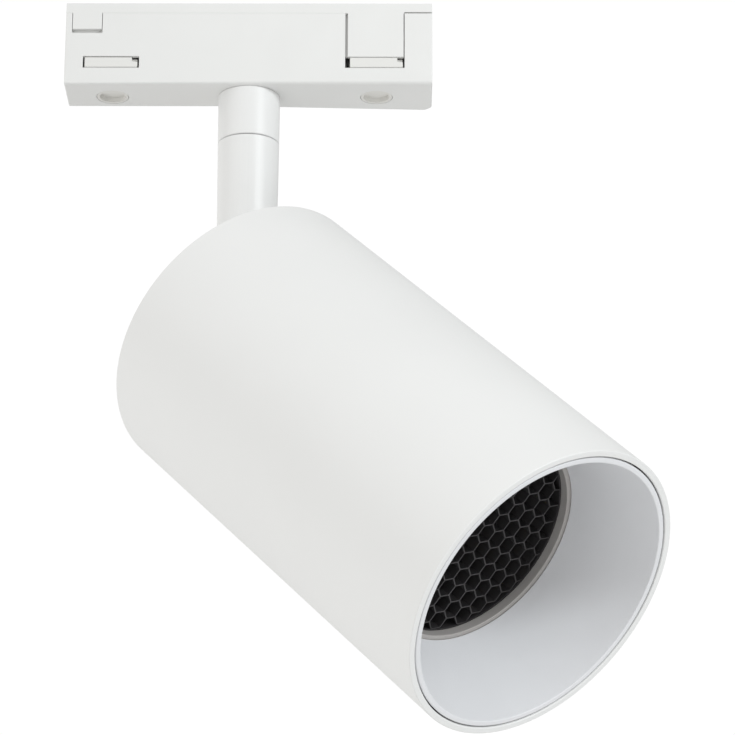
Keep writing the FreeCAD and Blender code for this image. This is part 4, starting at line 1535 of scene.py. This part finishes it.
    def cell_master(self) -> bpy.types.Object:
        """Flat hexagonal frame of one cell, facing down the barrel's axis.

        Returns:
            The new object.
        """
        outer = self.cell_pitch / math.sqrt(3)
        inner = (self.cell_pitch - self.cell_wall) / math.sqrt(3)
        shape = bmesh.new()
        corners = []
        for corner in range(6):
            angle = math.radians(30 + 60 * corner)
            corners.append([shape.verts.new((reach * math.cos(angle), reach * math.sin(angle), 0.0))
                            for reach in (inner, outer)])
        for corner in range(6):
            first, second = corners[corner], corners[(corner + 1) % 6]
            shape.faces.new((first[0], first[1], second[1], second[0]))
        return from_bmesh("cell_master", shape)

    def build_louvre(self) -> None:
        """Honeycomb and the ring that holds it."""
        span = Span.of("honeycomb_louvre", HEAD)
        holder = Span.of("louvre_ring", HEAD)
        rim = holder.inner - 0.1 * MM
        cell = self.cell_master()
        place = HEAD.matrix() @ Matrix.Translation((0, 0, span.low))
        material = self.shop.wardrobe.material(self.shop.wardrobe.slots["honeycomb_louvre"])
        sheet = grown("honeycomb_sheet", self.shop.honeycomb, {
            "Cell": cell, "Rows": self.rows, "Pitch": self.cell_pitch, "Rim": rim,
            "Shift": Vector((*self.cell_shift, 0.0)), "Turn": self.cell_turn,
            "Thickness": span.high - span.low, "Place": place.translation,
            "Lean": Vector(place.to_euler()), "Material": material})
        bpy.data.objects.remove(cell)
        lap = rim - 0.12 * MM
        edge = [(lap, span.low), (span.outer, span.low), (span.outer, span.high), (lap, span.high)]
        band = turned("louvre_band", edge, HEAD, soften=0.08 * MM, steps=2, segments=160)
        band.data.materials.append(material)
        self.dress(join_meshes("honeycomb_grid", [sheet, band]), "honeycomb_louvre")
        self.dress(turned("louvre_holder", holder.tube(), HEAD, soften=0.25 * MM), "louvre_ring")

    def build_snoot(self) -> None:
        """Tapered baffle with a flat lip and a short tail."""
        span = Span.of("snoot", HEAD)
        lip, skirt = span.radii_at(span.high)
        seat_height = Span.of("louvre_ring", HEAD).high + 0.1 * MM
        cone = span.inner
        tail_inner, tail_outer = span.radii_at(span.low)
        under = span.high - self.lip_depth
        skirt_low = span.high - self.skirt_depth
        inside = skirt - self.skirt_wall
        profile = [(lip, span.high), (skirt, span.high), (skirt, skirt_low), (inside, skirt_low),
                   (inside, under), (lip - 0.3 * MM, under), (tail_outer, seat_height - 0.2 * MM),
                   (tail_outer, span.low), (tail_inner, span.low), (tail_inner, seat_height),
                   (cone, seat_height)]
        self.dress(turned("snoot_cone", profile, HEAD, soften=self.lip_edge, segments=256), "snoot")


# ---------------------------------------------------------------- studio


@dataclass(frozen=True)
class Lamp:
    """Soft disc light that faces the object.

    Attributes:
        name: name of the light.
        away: direction from the object to the light.
        distance: distance in metres.
        width: diameter in metres.
        power: power in watts.
        colour: colour of the light.
    """

    name: str
    away: Tuple[float, float, float]
    distance: float
    width: float
    power: float
    colour: Colour = (0.94, 0.98, 1.0)

    def hang(self) -> None:
        """Put the lamp in its place."""
        data = bpy.data.lights.new(self.name, "AREA")
        data.shape = "DISK"
        data.size = self.width
        data.energy = self.power
        data.color = self.colour
        lamp = bpy.data.objects.new(self.name, data)
        aim = (Vector(CAD_BOX[0]) + Vector(CAD_BOX[1])) / 2
        away = Vector(self.away).normalized()
        turn = away.to_track_quat("Z", "Y").to_matrix().to_4x4()
        lamp.matrix_world = Matrix.Translation(aim + away * self.distance) @ turn
        bpy.context.scene.collection.objects.link(lamp)


@dataclass
class Studio:
    """Camera, soft light and a pale floor far below the light.

    Attributes:
        lens: focal length in millimetres.
        sensor: width of the camera's sensor in millimetres.
        yaw: camera turn about Z in degrees, positive to the right.
        pitch: how far the camera looks up, in degrees.
        roll: turn about its own line of sight, in degrees.
        distance: from the aim to the camera.
        aim: sideways and upwards shift of the aim from the middle of the adapter's height.
        floor_drop: distance from the object's lowest point to the floor.
        floor_radius: radius of the round floor.
        sky: brightness of the surroundings in the middle.
        lean: how the brightness rises along X, Y and Z.
        warmth: share of blue in the surroundings.
        white: brightness of the surroundings as the camera itself sees them.
        lamps: the key light and a soft card from below.
    """

    lens: float = 156.53
    sensor: float = 36.0
    yaw: float = -0.43
    pitch: float = 19.06
    roll: float = 0.256
    distance: float = 0.8752
    aim: Tuple[float, float] = (0.03269, -0.07374)
    floor_drop: float = 1.1
    floor_radius: float = 1.3
    sky: float = 0.75
    lean: Tuple[float, float, float] = (-0.34, -0.02, 0.0)
    warmth: float = 0.985
    white: float = 1.02
    lamps: Tuple[Lamp, ...] = (
        Lamp("key", (0.66, -0.67, 0.29), distance=1.3, width=0.36, power=6.7),
        Lamp("card", (0.75, -0.2, -0.65), distance=0.9, width=0.5, power=1.0))

    def build(self) -> None:
        """Set up everything around the object."""
        bpy.context.scene.view_settings.view_transform = "Standard"
        self.build_camera()
        self.build_world()
        self.build_floor()
        for lamp in self.lamps:
            lamp.hang()

    def build_camera(self) -> None:
        """Camera below the adapter, looking up at the head."""
        yaw, pitch, roll = (math.radians(angle) for angle in (self.yaw, self.pitch, self.roll))
        look = Vector((math.sin(yaw) * math.cos(pitch), math.cos(yaw) * math.cos(pitch), math.sin(pitch)))
        right = Vector((math.cos(yaw), -math.sin(yaw), 0))
        top = right.cross(look)
        middle = Vector((0, 0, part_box("adapter_housing")[0].z))
        place = middle - look * self.distance + right * self.aim[0] + top * self.aim[1]
        side = right * math.cos(roll) + top * math.sin(roll)
        crown = -right * math.sin(roll) + top * math.cos(roll)
        data = bpy.data.cameras.new("view")
        data.lens = self.lens
        data.sensor_width = self.sensor
        camera = bpy.data.objects.new("view", data)
        turn = Matrix((side, crown, -look)).transposed().to_4x4()
        camera.matrix_world = Matrix.Translation(place) @ turn
        bpy.context.scene.collection.objects.link(camera)
        bpy.context.scene.camera = camera

    def build_world(self) -> None:
        """White surroundings, a little brighter to the left, and pure white to the camera itself."""
        world = bpy.data.worlds.new("surroundings")
        world.use_nodes = True
        nodes = Nodes(world.node_tree)
        way = nodes.add("ShaderNodeTexCoord").outputs["Generated"]
        lean = nodes.add("ShaderNodeVectorMath", {0: way, 1: self.lean}, operation="DOT_PRODUCT")
        level = nodes.math("ADD", lean.outputs["Value"], self.sky)
        warm = nodes.math("MULTIPLY", level, self.warmth)
        sky = nodes.add("ShaderNodeCombineColor", {"Red": level, "Green": level, "Blue": warm}).outputs[0]
        path = nodes.add("ShaderNodeLightPath").outputs["Is Camera Ray"]
        tone = nodes.mix(path, sky, (self.white, self.white, self.white, 1.0))
        back = nodes.add("ShaderNodeBackground", {"Color": tone})
        output = nodes.add("ShaderNodeOutputWorld")
        nodes.join(back.outputs[0], output.inputs[0])
        bpy.context.scene.world = world

    def build_floor(self) -> None:
        """Pale floor with a faint grain."""
        level = CAD_BOX[0][2] - self.floor_drop
        shape = bmesh.new()
        bmesh.ops.create_circle(shape, cap_ends=True, segments=96, radius=self.floor_radius)
        bmesh.ops.translate(shape, verts=shape.verts, vec=(0, 0, level))
        floor = from_bmesh("floor", shape)
        floor.data.materials.append(FLOOR_PAINT.build())


# ---------------------------------------------------------------- main


def main() -> None:
    """Build the adapter, the arm, the head and the studio, in that order."""
    logging.basicConfig(level=logging.INFO, format="%(message)s")
    shop = Workshop()
    Adapter(shop).build()
    Arm(shop).build()
    Head(shop).build()
    Studio().build()


if __name__ == "__main__":
    main()
